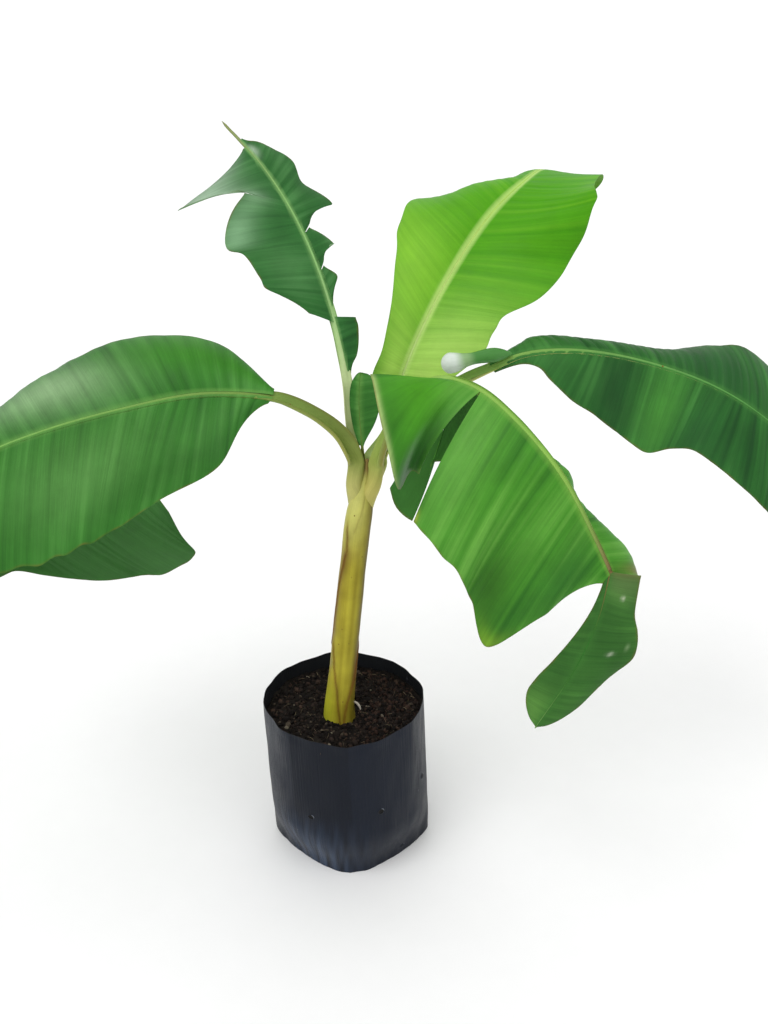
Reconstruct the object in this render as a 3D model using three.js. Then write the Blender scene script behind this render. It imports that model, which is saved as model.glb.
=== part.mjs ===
// A young banana plant in a black nursery polybag. Millimetres, +Z up.
// The origin is the middle of the bag's flat underside. +Y points away from the front of the plant.
import * as THREE from 'three';

// ---- Driving dimensions ------------------------------------------------------------------------

const BAG = {
  height: 205, // floor to rim
  rimRadius: 98,
  rimShift: -8, // the rim leans a little towards -X
  footCorner: 98, // the foot is a rounded square, standing on its corner
  footDepth: 89, // its reach to the front and back
  footRoundness: 1.32, // 1 is a sharp square, 2 is a circle
  shoulder: 70, // height at which the square foot has become a round bag
  lowRings: [22, 45], // heights of the mesh rings below the shoulder
  film: 2.4,
  floorRounding: 1, // how much further in the floor's upper face starts
  fanApex: [31, 17, 0], // where the facets of the underside meet, clear of its middle
  sides: 24,
};
const SOIL_LEVEL = 183;
const GAP = 0.3; // between touching pieces

const STEM = {
  path: [[-13, -16, SOIL_LEVEL + GAP], [-13, -16, 195], [-8, -14, 250], [2, -9, 350], [12, -3, 440],
    [21, 3, 490], [21, 3, 503]],
  radii: [20, 17, 16.5, 16, 16, 18, 23],
  sides: 16,
  steps: 12,
};
const FORK_LEVEL = 503 + GAP; // the leaf stalks start here, upright on the flat top of the false stem
const STALK_SIDES = 8;
const LIMB_STEP = 18; // mesh size along a stalk or midrib
const LEAST_LIMB_STEPS = 4;
const LENGTH_STEPS = 50; // length samples between two points of a curve

const BLADE = {
  thickness: 2.4,
  seat: 0.65, // free space between a blade half and the midrib that carries it
  stepAlong: 28, // mesh size along the midrib
  stepsAcross: 4,
  leastWidth: 2.5,
  slopeStep: 0.01, // share of a lobe over which the slope of its surface is taken
};

const GREEN = {
  old: '#3c7a2e',
  deep: '#2f6a34',
  young: '#6cae20',
  front: '#448a30',
  stalk: '#a8b85c',
};

// A leaf is a midrib, the way its upper face looks along that midrib, and its lobes. A lobe is a stretch
// of blade on one side of the midrib: its half widths, the angle at which it leaves the midrib (rise) and
// the angle it has at its edge (hang), in degrees above the face, and how far its veins run forward (sweep).
// Each list is spread evenly over the lobe's span of the midrib.
const LEAVES = {
  left: {
    colour: GREEN.old,
    stalk: [[10, -1, FORK_LEVEL], [10, -1, 512], [-4, -1, 541], [-26, -1, 562], [-58, 0, 580]],
    rib: [[-78, 0, 587], [-155, -5, 592], [-240, -15, 578], [-325, -25, 556], [-385, -30, 532],
      [-435, -25, 490], [-450, 5, 435], [-425, 45, 400], [-360, 85, 388], [-300, 118, 393], [-240, 145, 402]],
    radii: [9.5, 7, 5.5, 4.6, 4, 3.4, 3, 2.6, 2.2, 1.8, 1.4],
    ribCuts: { main: [0, 0.53], bend: [0.535, 0.715], tip: [0.72, 1] },
    face: [[0, -0.45, 0.9], [0, -0.7, 0.7], [-0.2, -0.7, 0.7], [-0.9, -0.4, 0.1], [0.2, 0.5, -0.8],
      [0.2, 0.6, -0.8]],
    lobes: {
      back: { side: 1, span: [0, 0.418], width: [14, 74, 100, 108, 111, 113, 114],
        rise: [35, 20, 5, -5], hang: [-20, -40, -60, -70], sweep: [0, 0.3, 0.35, 0.35] },
      front: { side: -1, span: [0, 0.418], width: [14, 80, 111, 126, 134, 134, 124],
        rise: [-15, -10], hang: [-30, -35, -35], sweep: [0.4, 0.05, 0.45, 0.45, 0.4, 0.4, 0.5] },
      bend_back: { side: 1, span: [0.422, 0.678], width: [116, 110, 100, 90],
        rise: [-5, 0, 0], hang: [-70, -40, -20], sweep: [0.35, 0.1, 0.1, 0.3] },
      bend_front: { side: -1, span: [0.422, 0.678], width: [124, 110, 86, 54],
        rise: [-10, 0, 0], hang: [-35, -30, -20], sweep: [0.5, 0.4, 0.4, 0.6] },
      tip_back: { side: 1, span: [0.682, 0.995], width: [90, 82, 70, 50, 35],
        rise: [0], hang: [-20], sweep: [0.3], tipRound: 0.3 },
      tip_front: { side: -1, span: [0.682, 0.995], width: [54, 92, 117, 138, 113, 92],
        rise: [0], hang: [-20], sweep: [0.6, 0.55, 0.5, 0.35, 0.5, 0.2], tipRound: 0.2 },
    },
  },
  back_left: {
    colour: GREEN.deep,
    stalk: [[7, 15, FORK_LEVEL], [7, 15, 515], [4, 14, 560]],
    rib: [[1, 14, 601], [-13, 30, 664], [-32, 45, 721], [-58, 65, 773], [-88, 85, 814], [-114, 100, 840]],
    spike: [[-124, 106, 849], [-131, 110, 856]],
    radii: [7, 6, 5.6, 5, 4.2, 3.4, 2.8, 2.2, 1.4],
    ribCuts: { main: [0, 1] },
    face: [[0.2, -1, 0.2], [0.2, -1, 0.2], [0.2, -1, 0.3], [0.3, -1, 0.3]],
    lobes: {
      left: { side: -1, span: [0.22, 0.688], width: [26, 60, 64, 68, 85, 36],
        rise: [30, 18], hang: [0, -5, 20], sweep: [0.6, 0.4, 0.25, 0.25, 0.15, 0.75] },
      left_tip: { side: -1, span: [0.692, 0.97], width: [44, 60, 102, 48, 14],
        rise: [15, 10], hang: [-10, -40], sweep: [0.95, 0.55, 0.25, 0.3, 0] },
      right_base: { side: 1, span: [0, 0.24], width: [6, 17, 26, 26],
        rise: [-10], hang: [-30], sweep: [0.9, 0, 0.2, -0.25] },
      right_low: { side: 1, span: [0.27, 0.408], width: [6, 23, 10],
        rise: [-20], hang: [-50], sweep: [1.2, 0.5, 0.6] },
      right_middle: { side: 1, span: [0.412, 0.558], width: [14, 38, 12],
        rise: [-20], hang: [-50], sweep: [0.9, 0.1, 0.5] },
      right_top: { side: 1, span: [0.562, 0.985], width: [16, 60, 38, 42, 30, 18, 4],
        rise: [-20], hang: [-50], sweep: [0.65, 0.05, 0.35, 0.45, 0.6, 0.6, 0.4] },
    },
  },
  back_right: {
    colour: GREEN.young,
    stalk: [[22, 15, FORK_LEVEL], [22, 15, 510]],
    rib: [[43, 34, 534], [59, 55, 583], [75, 65, 624], [114, 90, 697], [158, 120, 756], [200, 150, 790],
      [224, 190, 795], [238, 228, 770], [243, 258, 725], [240, 278, 675]],
    radii: [4.4, 4.6, 5.4, 5, 4.4, 3.8, 3.2, 2.6, 2, 1.4],
    ribCuts: { main: [0, 0.655], fold: [0.66, 1] },
    face: [[-0.3, -1, 0.3], [-0.2, -1, 0.5], [-0.1, -0.9, 0.6], [0.2, 0.3, 0.9], [0.3, 0.9, 0.3]],
    lobes: {
      left: { side: -1, span: [0.04, 0.318], width: [16, 33, 32, 44, 65, 88],
        rise: [40, 30, 20], hang: [0, 0, -10, -40], sweep: [-0.2, 0, 0.2, 0.55, 0.65, 0.45] },
      left_top: { side: -1, span: [0.322, 0.618], width: [88, 109, 117, 112],
        rise: [20, 15, 10], hang: [-40, -85, -150, -145], sweep: [0.45, 0.2, 0.26] },
      left_fold: { side: -1, span: [0.622, 0.985], width: [112, 106, 90, 60],
        rise: [10, 0, 0], hang: [-145, -80, -30], sweep: [0.3], tipRound: 0.4 },
      right: { side: 1, span: [0.04, 0.398], width: [14, 36, 74, 77, 80, 106, 109],
        rise: [20], hang: [-5], sweep: [0.5, 0.1, 0.4, 0.4, 0.3, 0.3, 0.4] },
      right_top: { side: 1, span: [0.402, 0.618], width: [109, 115, 108, 90],
        rise: [20], hang: [0, 40, 50, 44], sweep: [0.45, 0.5, 0.42, 0.15] },
      right_fold: { side: 1, span: [0.622, 0.985], width: [90, 68, 50, 36],
        rise: [20, 0, -15, -30], hang: [44, -50, -90, -110], sweep: [0.2, 0.3], tipRound: 0.4 },
    },
  },
  right: {
    colour: GREEN.deep,
    stalk: [[38, 13, FORK_LEVEL], [38, 13, 512], [60, 10, 552], [90, 8, 580], [117, 8, 598]],
    rib: [[152, 8, 616], [187, 10, 631], [238, 20, 633], [312, 30, 620], [405, 40, 586], [474, 42, 543],
      [528, 42, 490], [563, 38, 430]],
    radii: [6.5, 6.5, 8, 5.2, 4.4, 3.8, 3.2, 2.6, 2, 1.4],
    ribCuts: { main: [0, 1] },
    face: [[0, -0.5, 0.8], [0, -0.5, 0.8], [0.2, -0.5, 0.8]],
    lobes: {
      back: { side: -1, span: [0.005, 0.985], width: [8, 38, 43, 58, 85, 97, 87, 60],
        rise: [10], hang: [-45, -65, -85, -75, -45, -30, -40, -40],
        sweep: [0.5, -0.3, -0.55, -0.2, -0.1, -0.3, 0.2, 0.2], tipRound: 0.3 },
      front: { side: 1, span: [0.005, 0.985], width: [8, 20, 70, 100, 80, 84, 80, 60],
        rise: [-20], hang: [-30, -25, -25, -40],
        sweep: [0.3, -0.8, -0.25, -0.15, -0.15, 0.5, 0.2, 0.2], tipRound: 0.3 },
    },
  },
  front: {
    colour: GREEN.front,
    stalk: [[32, -4, FORK_LEVEL], [32, -4, 512], [48, -14, 560], [70, -26, 597]],
    rib: [[100, -40, 619], [133, -60, 617], [171, -95, 595], [213, -135, 553], [246, -165, 497],
      [263, -175, 463]],
    radii: [9.5, 7, 6, 5.2, 4.6, 4, 3.4, 3],
    ribCuts: { main: [0, 1] },
    face: [[-0.3, -0.4, 0.85], [-0.3, -0.6, 0.75], [-0.5, -0.8, 0.4], [-0.5, -0.8, 0.3]],
    lobes: {
      base: { side: 1, span: [0, 0.168], width: [92, 120, 144, 116, 112],
        rise: [53, 40, 20, 10], hang: [51, -18, -55, -105, -80], sweep: [-0.3, -0.14, -0.06, -0.18, -0.1] },
      near: { side: 1, span: [0.172, 0.975], width: [148, 146, 146, 156, 168, 88, 12],
        rise: [5], hang: [-25, -15], sweep: [0.2, 0.3, 0.35, 0.35, 0.55, 0.6, 0.55] },
      far_base: { side: -1, span: [0, 0.042], width: [112, 124, 143, 157, 165],
        rise: [-105], hang: [-150], sweep: [-0.75, -0.63, -0.48, -0.34, -0.23] },
      far_valley: { side: -1, span: [0.047, 0.178], width: [100, 98, 96, 94],
        rise: [-105], hang: [-150], sweep: [-0.19, -0.14] },
      far: { side: -1, span: [0.182, 0.98], width: [75, 72, 68, 66, 60, 50, 58, 62, 58],
        rise: [-85, -85, -85, -80, -64, -84, -62, -45, -30],
        hang: [-150, -150, -150, -150, -140, -160, -140, -135],
        sweep: [0, 0, 0, 0, 0.1, 0, 0.2, 0.4, 0.7] },
    },
  },
  front_tip: {
    colour: GREEN.front,
    rib: [[263, -175, 461], [253, -180, 416], [233, -185, 361], [197, -185, 289]],
    radii: [3, 2.6, 2, 1.4],
    ribCuts: { main: [0, 1] },
    face: [[-0.5, -0.8, 0.3], [-0.4, -0.9, 0.2], [-0.4, -0.9, 0.2]],
    lobes: {
      near: { side: 1, span: [0.01, 0.985], width: [4, 12, 23, 30, 28],
        rise: [0], hang: [-30], sweep: [0.8, 0.5, 0.45, 0.35, 0.05], tipRound: 0.22 },
      far: { side: -1, span: [0.01, 0.985], width: [24, 32, 42, 47, 35, 27, 20],
        rise: [0], hang: [-40], sweep: [0.4, 0.1, -0.3, -0.45, -0.5, -0.4, -0.3], tipRound: 0.2 },
    },
  },
  heart: {
    colour: GREEN.old,
    stalk: [[18, 8, FORK_LEVEL], [18, 8, 512]],
    rib: [[17, 4, 527], [15, 3, 554], [14, 3, 582], [16, 4, 613]],
    radii: [1.8, 1.6, 1.4, 1],
    ribCuts: { main: [0, 1] },
    face: [[-0.1, -1, 0.1]],
    lobes: {
      left: { side: -1, span: [0.15, 0.99], width: [4, 7, 9, 9, 7],
        rise: [10], hang: [-10], sweep: [0.2], tipRound: 0.2 },
      right: { side: 1, span: [0.01, 0.99], width: [3, 10, 20, 20, 13],
        rise: [10], hang: [20], sweep: [0.3], tipRound: 0.2 },
    },
  },
};

// ---- Shared geometry ---------------------------------------------------------------------------

/** A number or a vector read from a list spread evenly over 0 to 1, smoothly. */
function spread(values, t) {
  const last = values.length - 1;
  if (last === 0) {
    return values[0];
  }
  const place = THREE.MathUtils.clamp(t, 0, 1) * last;
  const index = Math.min(Math.floor(place), last - 1);
  const w = place - index;
  const at = (k) => values[THREE.MathUtils.clamp(k, 0, last)];
  const blend = (a, b, c, d) => {
    const bend = 2 * a - 5 * b + 4 * c - d;
    const twist = 3 * (b - c) + d - a;
    return b + 0.5 * w * (c - a + w * (bend + w * twist));
  };
  const four = [at(index - 1), at(index), at(index + 1), at(index + 2)];
  return Array.isArray(four[0]) ? four[1].map((_, k) => blend(...four.map((v) => v[k]))) : blend(...four);
}

/** A smooth curve through points given as [x, y, z]. */
function curveThrough(points) {
  const curve = new THREE.CatmullRomCurve3(points.map((p) => new THREE.Vector3(...p)));
  curve.arcLengthDivisions = LENGTH_STEPS * (points.length - 1);
  return curve;
}

/** The faces between rings of equal length, whose points lie one ring after the other. */
function sideFaces(ringCount, count, crossed) {
  const faces = [];
  for (let r = 0; r + 1 < ringCount; r += 1) {
    for (let k = 0; k < count; k += 1) {
      const a = r * count + k;
      const b = r * count + ((k + 1) % count);
      if (crossed) {
        faces.push(a, b, a + count, b, b + count, a + count);
      } else {
        faces.push(a, b, b + count, a, b + count, a + count);
      }
    }
  }
  return faces;
}

function geometryOf(points, faces) {
  const geometry = new THREE.BufferGeometry();
  geometry.setAttribute('position', new THREE.Float32BufferAttribute(points.flatMap((p) => p.toArray()), 3));
  geometry.setIndex(faces);
  return geometry;
}

/**
 * A closed body through rings of equal length, with a flat fan over the first and the last ring.
 * The four corners between two rings are split along one diagonal, or along the other where crossed is true.
 */
function fannedBody(rings, apexStart, apexEnd, crossed = false) {
  const count = rings[0].length;
  const points = [...rings.flat(), apexStart, apexEnd];
  const faces = sideFaces(rings.length, count, crossed);
  const start = points.length - 2;
  const end = points.length - 1;
  const lastRing = (rings.length - 1) * count;
  for (let k = 0; k < count; k += 1) {
    const next = (k + 1) % count;
    faces.push(start, next, k);
    faces.push(end, lastRing + k, lastRing + next);
  }
  return geometryOf(points, faces);
}

/** A closed body through long thin rings, whose ends are closed by strips from one long side to the other. */
function strippedBody(rings) {
  const count = rings[0].length;
  const faces = sideFaces(rings.length, count, false);
  const last = (rings.length - 1) * count;
  for (let k = 0; k + 1 < count / 2; k += 1) {
    const across = count - 1 - k;
    faces.push(k + 1, k, across, k + 1, across, across - 1);
    faces.push(last + k, last + k + 1, last + across, last + k + 1, last + across - 1, last + across);
  }
  return geometryOf(rings.flat(), faces);
}

function namedMesh(name, geometry, colour, roughness) {
  geometry.computeVertexNormals();
  const material = new THREE.MeshStandardMaterial({ color: colour, roughness, metalness: 0 });
  const mesh = new THREE.Mesh(geometry, material);
  mesh.name = name;
  return mesh;
}

const middleOf = (ring) => ring.reduce((sum, p) => sum.add(p), new THREE.Vector3()).divideScalar(ring.length);

/** A tapering limb along a stretch of a curve. Its sections stay upright to the curve and never twist. */
function limbGeometry(curve, [from, to], radii, sides, steps) {
  const rings = [];
  const across = new THREE.Vector3(0, 1, 0);
  for (let i = 0; i <= steps; i += 1) {
    const t = from + ((to - from) * i) / steps;
    const centre = curve.getPointAt(t);
    const along = curve.getTangentAt(t);
    across.addScaledVector(along, -across.dot(along)).normalize();
    const third = new THREE.Vector3().crossVectors(along, across);
    const radius = spread(radii, t);
    const ring = [];
    for (let k = 0; k < sides; k += 1) {
      const angle = (2 * Math.PI * (k + 0.5)) / sides;
      ring.push(centre.clone()
        .addScaledVector(across, radius * Math.cos(angle))
        .addScaledVector(third, radius * Math.sin(angle)));
    }
    rings.push(ring);
  }
  return fannedBody(rings, middleOf(rings[0]), middleOf(rings[rings.length - 1]));
}

// ---- Bag and soil ------------------------------------------------------------------------------

/** The bag's outline at a height, moved inwards by an inset: a square foot that turns into a round rim. */
function bagRing(height, inset, level = height) {
  const round = THREE.MathUtils.smoothstep(height, 0, BAG.shoulder);
  const power = THREE.MathUtils.lerp(BAG.footRoundness, 2, round);
  const reach = THREE.MathUtils.lerp(BAG.footCorner, BAG.rimRadius, height / BAG.height) - inset;
  const depth = THREE.MathUtils.lerp(BAG.footDepth / BAG.footCorner, 1, round);
  const shift = (BAG.rimShift * height) / BAG.height;
  const ring = [];
  for (let k = 0; k < BAG.sides; k += 1) {
    const angle = (2 * Math.PI * k) / BAG.sides;
    const c = Math.cos(angle);
    const s = Math.sin(angle);
    const radius = reach / (Math.abs(c) ** power + Math.abs(s) ** power) ** (1 / power);
    ring.push(new THREE.Vector3(shift + radius * c, depth * radius * s, level));
  }
  return ring;
}

function bag() {
  const heights = [...BAG.lowRings, BAG.shoulder, BAG.height];
  const outer = [0, ...heights].map((z) => bagRing(z, 0));
  const inner = heights.toReversed().map((z) => bagRing(z, BAG.film));
  const floor = bagRing(0, BAG.film + BAG.floorRounding, BAG.film);
  const apex = new THREE.Vector3(...BAG.fanApex);
  const geometry = fannedBody([...outer, ...inner, floor], apex, middleOf(floor));
  return namedMesh('bag', geometry, '#2b2d33', 0.45);
}

function soil() {
  const inset = BAG.film + 2 * GAP;
  const rings = [bagRing(0, inset + BAG.floorRounding, BAG.film + GAP)];
  for (const z of [...BAG.lowRings, BAG.shoulder, SOIL_LEVEL]) {
    rings.push(bagRing(z, inset));
  }
  const geometry = fannedBody(rings, middleOf(rings[0]), middleOf(rings[rings.length - 1]), true);
  return namedMesh('soil', geometry, '#2a2320', 0.95);
}

// ---- Stem, stalks and blades -------------------------------------------------------------------

function pseudostem() {
  const geometry = limbGeometry(curveThrough(STEM.path), [0, 1], STEM.radii, STEM.sides, STEM.steps);
  return namedMesh('pseudostem', geometry, '#b9ae55', 0.55);
}

/** The line of a leaf from the foot of its stalk to its tip, and the stretch of it that carries the blade. */
function leafLine(leaf) {
  const stalk = leaf.stalk ?? [];
  const curve = curveThrough([...stalk, ...leaf.rib, ...(leaf.spike ?? [])]);
  const lengths = curve.getLengths();
  const share = (pointIndex) => lengths[LENGTH_STEPS * pointIndex] / lengths[lengths.length - 1];
  const bladeFrom = share(stalk.length);
  const bladeTo = share(stalk.length + leaf.rib.length - 1);
  return { curve, place: (u) => THREE.MathUtils.lerp(bladeFrom, bladeTo, u) };
}

function midribs(leafName, leaf) {
  const { curve } = leafLine(leaf);
  return Object.entries(leaf.ribCuts).map(([part, span]) => {
    const length = (span[1] - span[0]) * curve.getLength();
    const steps = Math.max(LEAST_LIMB_STEPS, Math.round(length / LIMB_STEP));
    const geometry = limbGeometry(curve, span, leaf.radii, STALK_SIDES, steps);
    const name = part === 'main' ? `midrib_${leafName}` : `midrib_${leafName}_${part}`;
    return namedMesh(name, geometry, GREEN.stalk, 0.5);
  });
}

/** How much of its full width a lobe keeps where its tip is rounded off. */
function rounding(distanceToEnd, length) {
  if (!length || distanceToEnd >= length) {
    return 1;
  }
  return Math.sqrt(Math.max(0, 1 - (1 - distanceToEnd / length) ** 2));
}

/** The point of a lobe at t along it and v across it, 0 at the midrib and 1 at the edge. */
function bladePoint(line, leaf, lobe, t, v) {
  const u = THREE.MathUtils.lerp(lobe.span[0], lobe.span[1], t);
  const place = line.place(u);
  const along = line.curve.getTangentAt(place);
  const up = new THREE.Vector3(...spread(leaf.face, u));
  up.addScaledVector(along, -up.dot(along)).normalize();
  const out = new THREE.Vector3().crossVectors(along, up).multiplyScalar(lobe.side);
  const inner = spread(leaf.radii, place) + BLADE.seat;
  const reach = Math.max(spread(lobe.width, t) * rounding(1 - t, lobe.tipRound), inner + BLADE.leastWidth);
  const width = reach - inner;
  const rise = THREE.MathUtils.degToRad(spread(lobe.rise, t));
  const turn = THREE.MathUtils.degToRad(spread(lobe.hang, t)) - rise || 1e-4;
  const sideways = (Math.sin(rise + turn * v) - Math.sin(rise)) / turn;
  const upwards = (Math.cos(rise) - Math.cos(rise + turn * v)) / turn;
  return line.curve.getPointAt(place)
    .addScaledVector(out, inner * Math.cos(rise) + width * sideways)
    .addScaledVector(up, inner * Math.sin(rise) + width * upwards)
    .addScaledVector(along, reach * v * spread(lobe.sweep, t));
}

/** The direction square to a lobe's surface at t and v. */
function bladeNormal(line, leaf, lobe, t, v) {
  const step = BLADE.slopeStep;
  const lengthwise = bladePoint(line, leaf, lobe, Math.min(t + step, 1), v)
    .sub(bladePoint(line, leaf, lobe, Math.max(t - step, 0), v));
  const crosswise = bladePoint(line, leaf, lobe, t, v + step).sub(bladePoint(line, leaf, lobe, t, v - step));
  return new THREE.Vector3().crossVectors(crosswise, lengthwise).multiplyScalar(lobe.side).normalize();
}

function blade(name, leaf, lobe) {
  const line = leafLine(leaf);
  const length = (lobe.span[1] - lobe.span[0]) * (line.place(1) - line.place(0)) * line.curve.getLength();
  const rows = Math.max(lobe.width.length, Math.round(length / BLADE.stepAlong)) + 1;
  const half = BLADE.thickness / 2;
  const rings = [];
  for (let i = 0; i <= rows; i += 1) {
    const t = i / rows;
    const upper = [];
    const lower = [];
    for (let j = 0; j <= BLADE.stepsAcross; j += 1) {
      const v = j / BLADE.stepsAcross;
      const point = bladePoint(line, leaf, lobe, t, v);
      const normal = bladeNormal(line, leaf, lobe, t, v);
      upper.push(point.clone().addScaledVector(normal, half));
      lower.push(point.clone().addScaledVector(normal, -half));
    }
    const ring = [...upper, ...lower.reverse()];
    rings.push(lobe.side > 0 ? ring : ring.reverse());
  }
  return namedMesh(name, strippedBody(rings), leaf.colour, 0.4);
}

// ---- Assembly ----------------------------------------------------------------------------------

const plant = new THREE.Group();
plant.add(bag(), soil(), pseudostem());
for (const [leafName, leaf] of Object.entries(LEAVES)) {
  plant.add(...midribs(leafName, leaf));
  for (const [lobeName, lobe] of Object.entries(leaf.lobes)) {
    plant.add(blade(`blade_${leafName}_${lobeName}`, leaf, lobe));
  }
}

export default plant;
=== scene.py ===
"""A young banana plant in a black film nursery bag: the looks of every piece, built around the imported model.

Shapes are worked out in millimetres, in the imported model's frame: +Z is up, and the origin is the middle of
the bag's flat underside. They become metres when their mesh is made. A leaf is a centre line, the way its
face looks along that line, and its lobes, and every leaf is made by the same classes from those named sizes.
"""

import logging
import math
from dataclasses import dataclass
from enum import Enum, IntEnum
from typing import Callable, Sequence

import bpy
import numpy as np
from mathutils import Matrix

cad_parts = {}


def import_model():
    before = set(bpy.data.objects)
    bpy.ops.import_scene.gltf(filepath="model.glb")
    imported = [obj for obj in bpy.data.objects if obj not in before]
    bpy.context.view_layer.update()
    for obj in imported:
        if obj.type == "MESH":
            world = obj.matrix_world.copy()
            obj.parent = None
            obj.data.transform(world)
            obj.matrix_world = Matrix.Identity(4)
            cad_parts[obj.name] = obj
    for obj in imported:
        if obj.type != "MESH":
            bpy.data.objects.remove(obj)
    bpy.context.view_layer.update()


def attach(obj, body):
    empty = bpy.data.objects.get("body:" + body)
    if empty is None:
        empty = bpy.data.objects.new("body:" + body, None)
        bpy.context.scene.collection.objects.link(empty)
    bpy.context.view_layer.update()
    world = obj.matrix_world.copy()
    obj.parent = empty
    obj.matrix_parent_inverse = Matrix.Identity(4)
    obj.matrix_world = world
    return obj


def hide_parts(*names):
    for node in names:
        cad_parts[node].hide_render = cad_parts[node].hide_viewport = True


Array = np.ndarray
Colour = tuple[float, float, float]
Point = tuple[float, float, float]

MM = 0.001
BODY = "root"
log = logging.getLogger("banana_plant")


class Side(IntEnum):
    """The side of the midrib that a lobe grows on, seen on its upper face with the tip away."""

    RIGHT = 1
    LEFT = -1


class Blend(Enum):
    """How two colours are mixed in a material."""

    MIX = "MIX"
    MULTIPLY = "MULTIPLY"


# ---- Numbers and curves ----------------------------------------------------------------------------------


def paint(red: int, green: int, blue: int) -> Colour:
    """The linear colour of a screen colour given in steps of 0 to 255."""
    steps = [channel / 255 for channel in (red, green, blue)]
    return tuple(s / 12.92 if s <= 0.04045 else ((s + 0.055) / 1.055) ** 2.4 for s in steps)


def paints(*colours: tuple[int, int, int]) -> tuple[Colour, ...]:
    """The linear colours of a row of screen colours."""
    return tuple(paint(*colour) for colour in colours)


def ease(low: float, high: float, x: Array) -> Array:
    """A smooth rise from 0 at low to 1 at high. With low above high it falls."""
    t = np.clip((x - low) / (high - low), 0, 1)
    return t * t * (3 - 2 * t)


def blend(base: Array, over: Array | Colour, amount: Array | float) -> Array:
    """Colours base with over laid on by amount, a mask of the same places."""
    return base + (np.asarray(over) - base) * np.asarray(amount)[..., None]


def unit(vectors: Array) -> Array:
    """Vectors brought to length one."""
    return vectors / np.maximum(np.linalg.norm(vectors, axis=-1, keepdims=True), 1e-12)


def spread(values: Sequence, t: Array) -> Array:
    """Numbers or vectors read smoothly from a list spread evenly over 0 to 1.

    Args:
        values: The list, of numbers or of vectors.
        t: Where it is read.

    Returns:
        One number or vector for each place in t.
    """
    listed = np.asarray(values, float)
    t = np.clip(np.asarray(t, float), 0, 1)
    last = len(listed) - 1
    if last == 0:
        return np.broadcast_to(listed[0], t.shape + listed.shape[1:]).copy()
    index = np.minimum((t * last).astype(int), last - 1)
    w = t * last - index
    if listed.ndim > 1:
        w = w[..., None]
    a, b, c, d = (listed[np.clip(index + k, 0, last)] for k in (-1, 0, 1, 2))
    return b + 0.5 * w * (c - a + w * (2 * a - 5 * b + 4 * c - d + w * (3 * (b - c) + d - a)))


def vectors(x: Array, y: Array, z: Array | float = 0.0) -> Array:
    """Vectors from their three parts, each given for every place or standing for many."""
    return np.stack(np.broadcast_arrays(x, y, z), -1)


def hoops(centres: Array, side_way: Array, top_way: Array, right: Array, up: Array) -> Array:
    """Rings of points round a line.

    Args:
        centres: The middle of each ring.
        side_way: Each ring's unit direction out to its right.
        top_way: Each ring's unit direction up.
        right: How far each point of each ring lies to the right.
        up: How far it lies up.

    Returns:
        The points, ring by ring.
    """
    return centres[:, None] + right[..., None] * side_way[:, None] + up[..., None] * top_way[:, None]


class Ripple:
    """A smooth seeded wander of about -1 to 1 over one or two coordinates."""

    WAVES = 7
    SLOWEST = 0.6
    FASTEST = 2.6
    SWING = 1.6

    def __init__(self, seed: int) -> None:
        """Draws the waves that are added up.

        Args:
            seed: The seed of the draws.
        """
        rng = np.random.default_rng(seed)
        rate = rng.uniform(self.SLOWEST, self.FASTEST, self.WAVES)
        heading = rng.uniform(0, 2 * math.pi, self.WAVES)
        self._rate_x = rate * np.where(np.cos(heading) >= 0, 1, -1)
        self._rate_y = rate * np.sin(heading)
        self._phase = rng.uniform(0, 2 * math.pi, self.WAVES)
        self._gain = self.SWING / self.WAVES

    def __call__(self, x: Array, y: Array | float = 0.0) -> Array:
        """The wander at some places.

        Args:
            x: The first coordinate, in units of about one swell.
            y: The second, in the same units.

        Returns:
            The wander at each place.
        """
        x, y = np.broadcast_arrays(np.asarray(x, float), np.asarray(y, float))
        total = np.zeros(x.shape)
        for rate_x, rate_y, phase in zip(self._rate_x, self._rate_y, self._phase):
            total += np.sin(2 * (rate_x * x + rate_y * y) + phase)
        return total * self._gain


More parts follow.
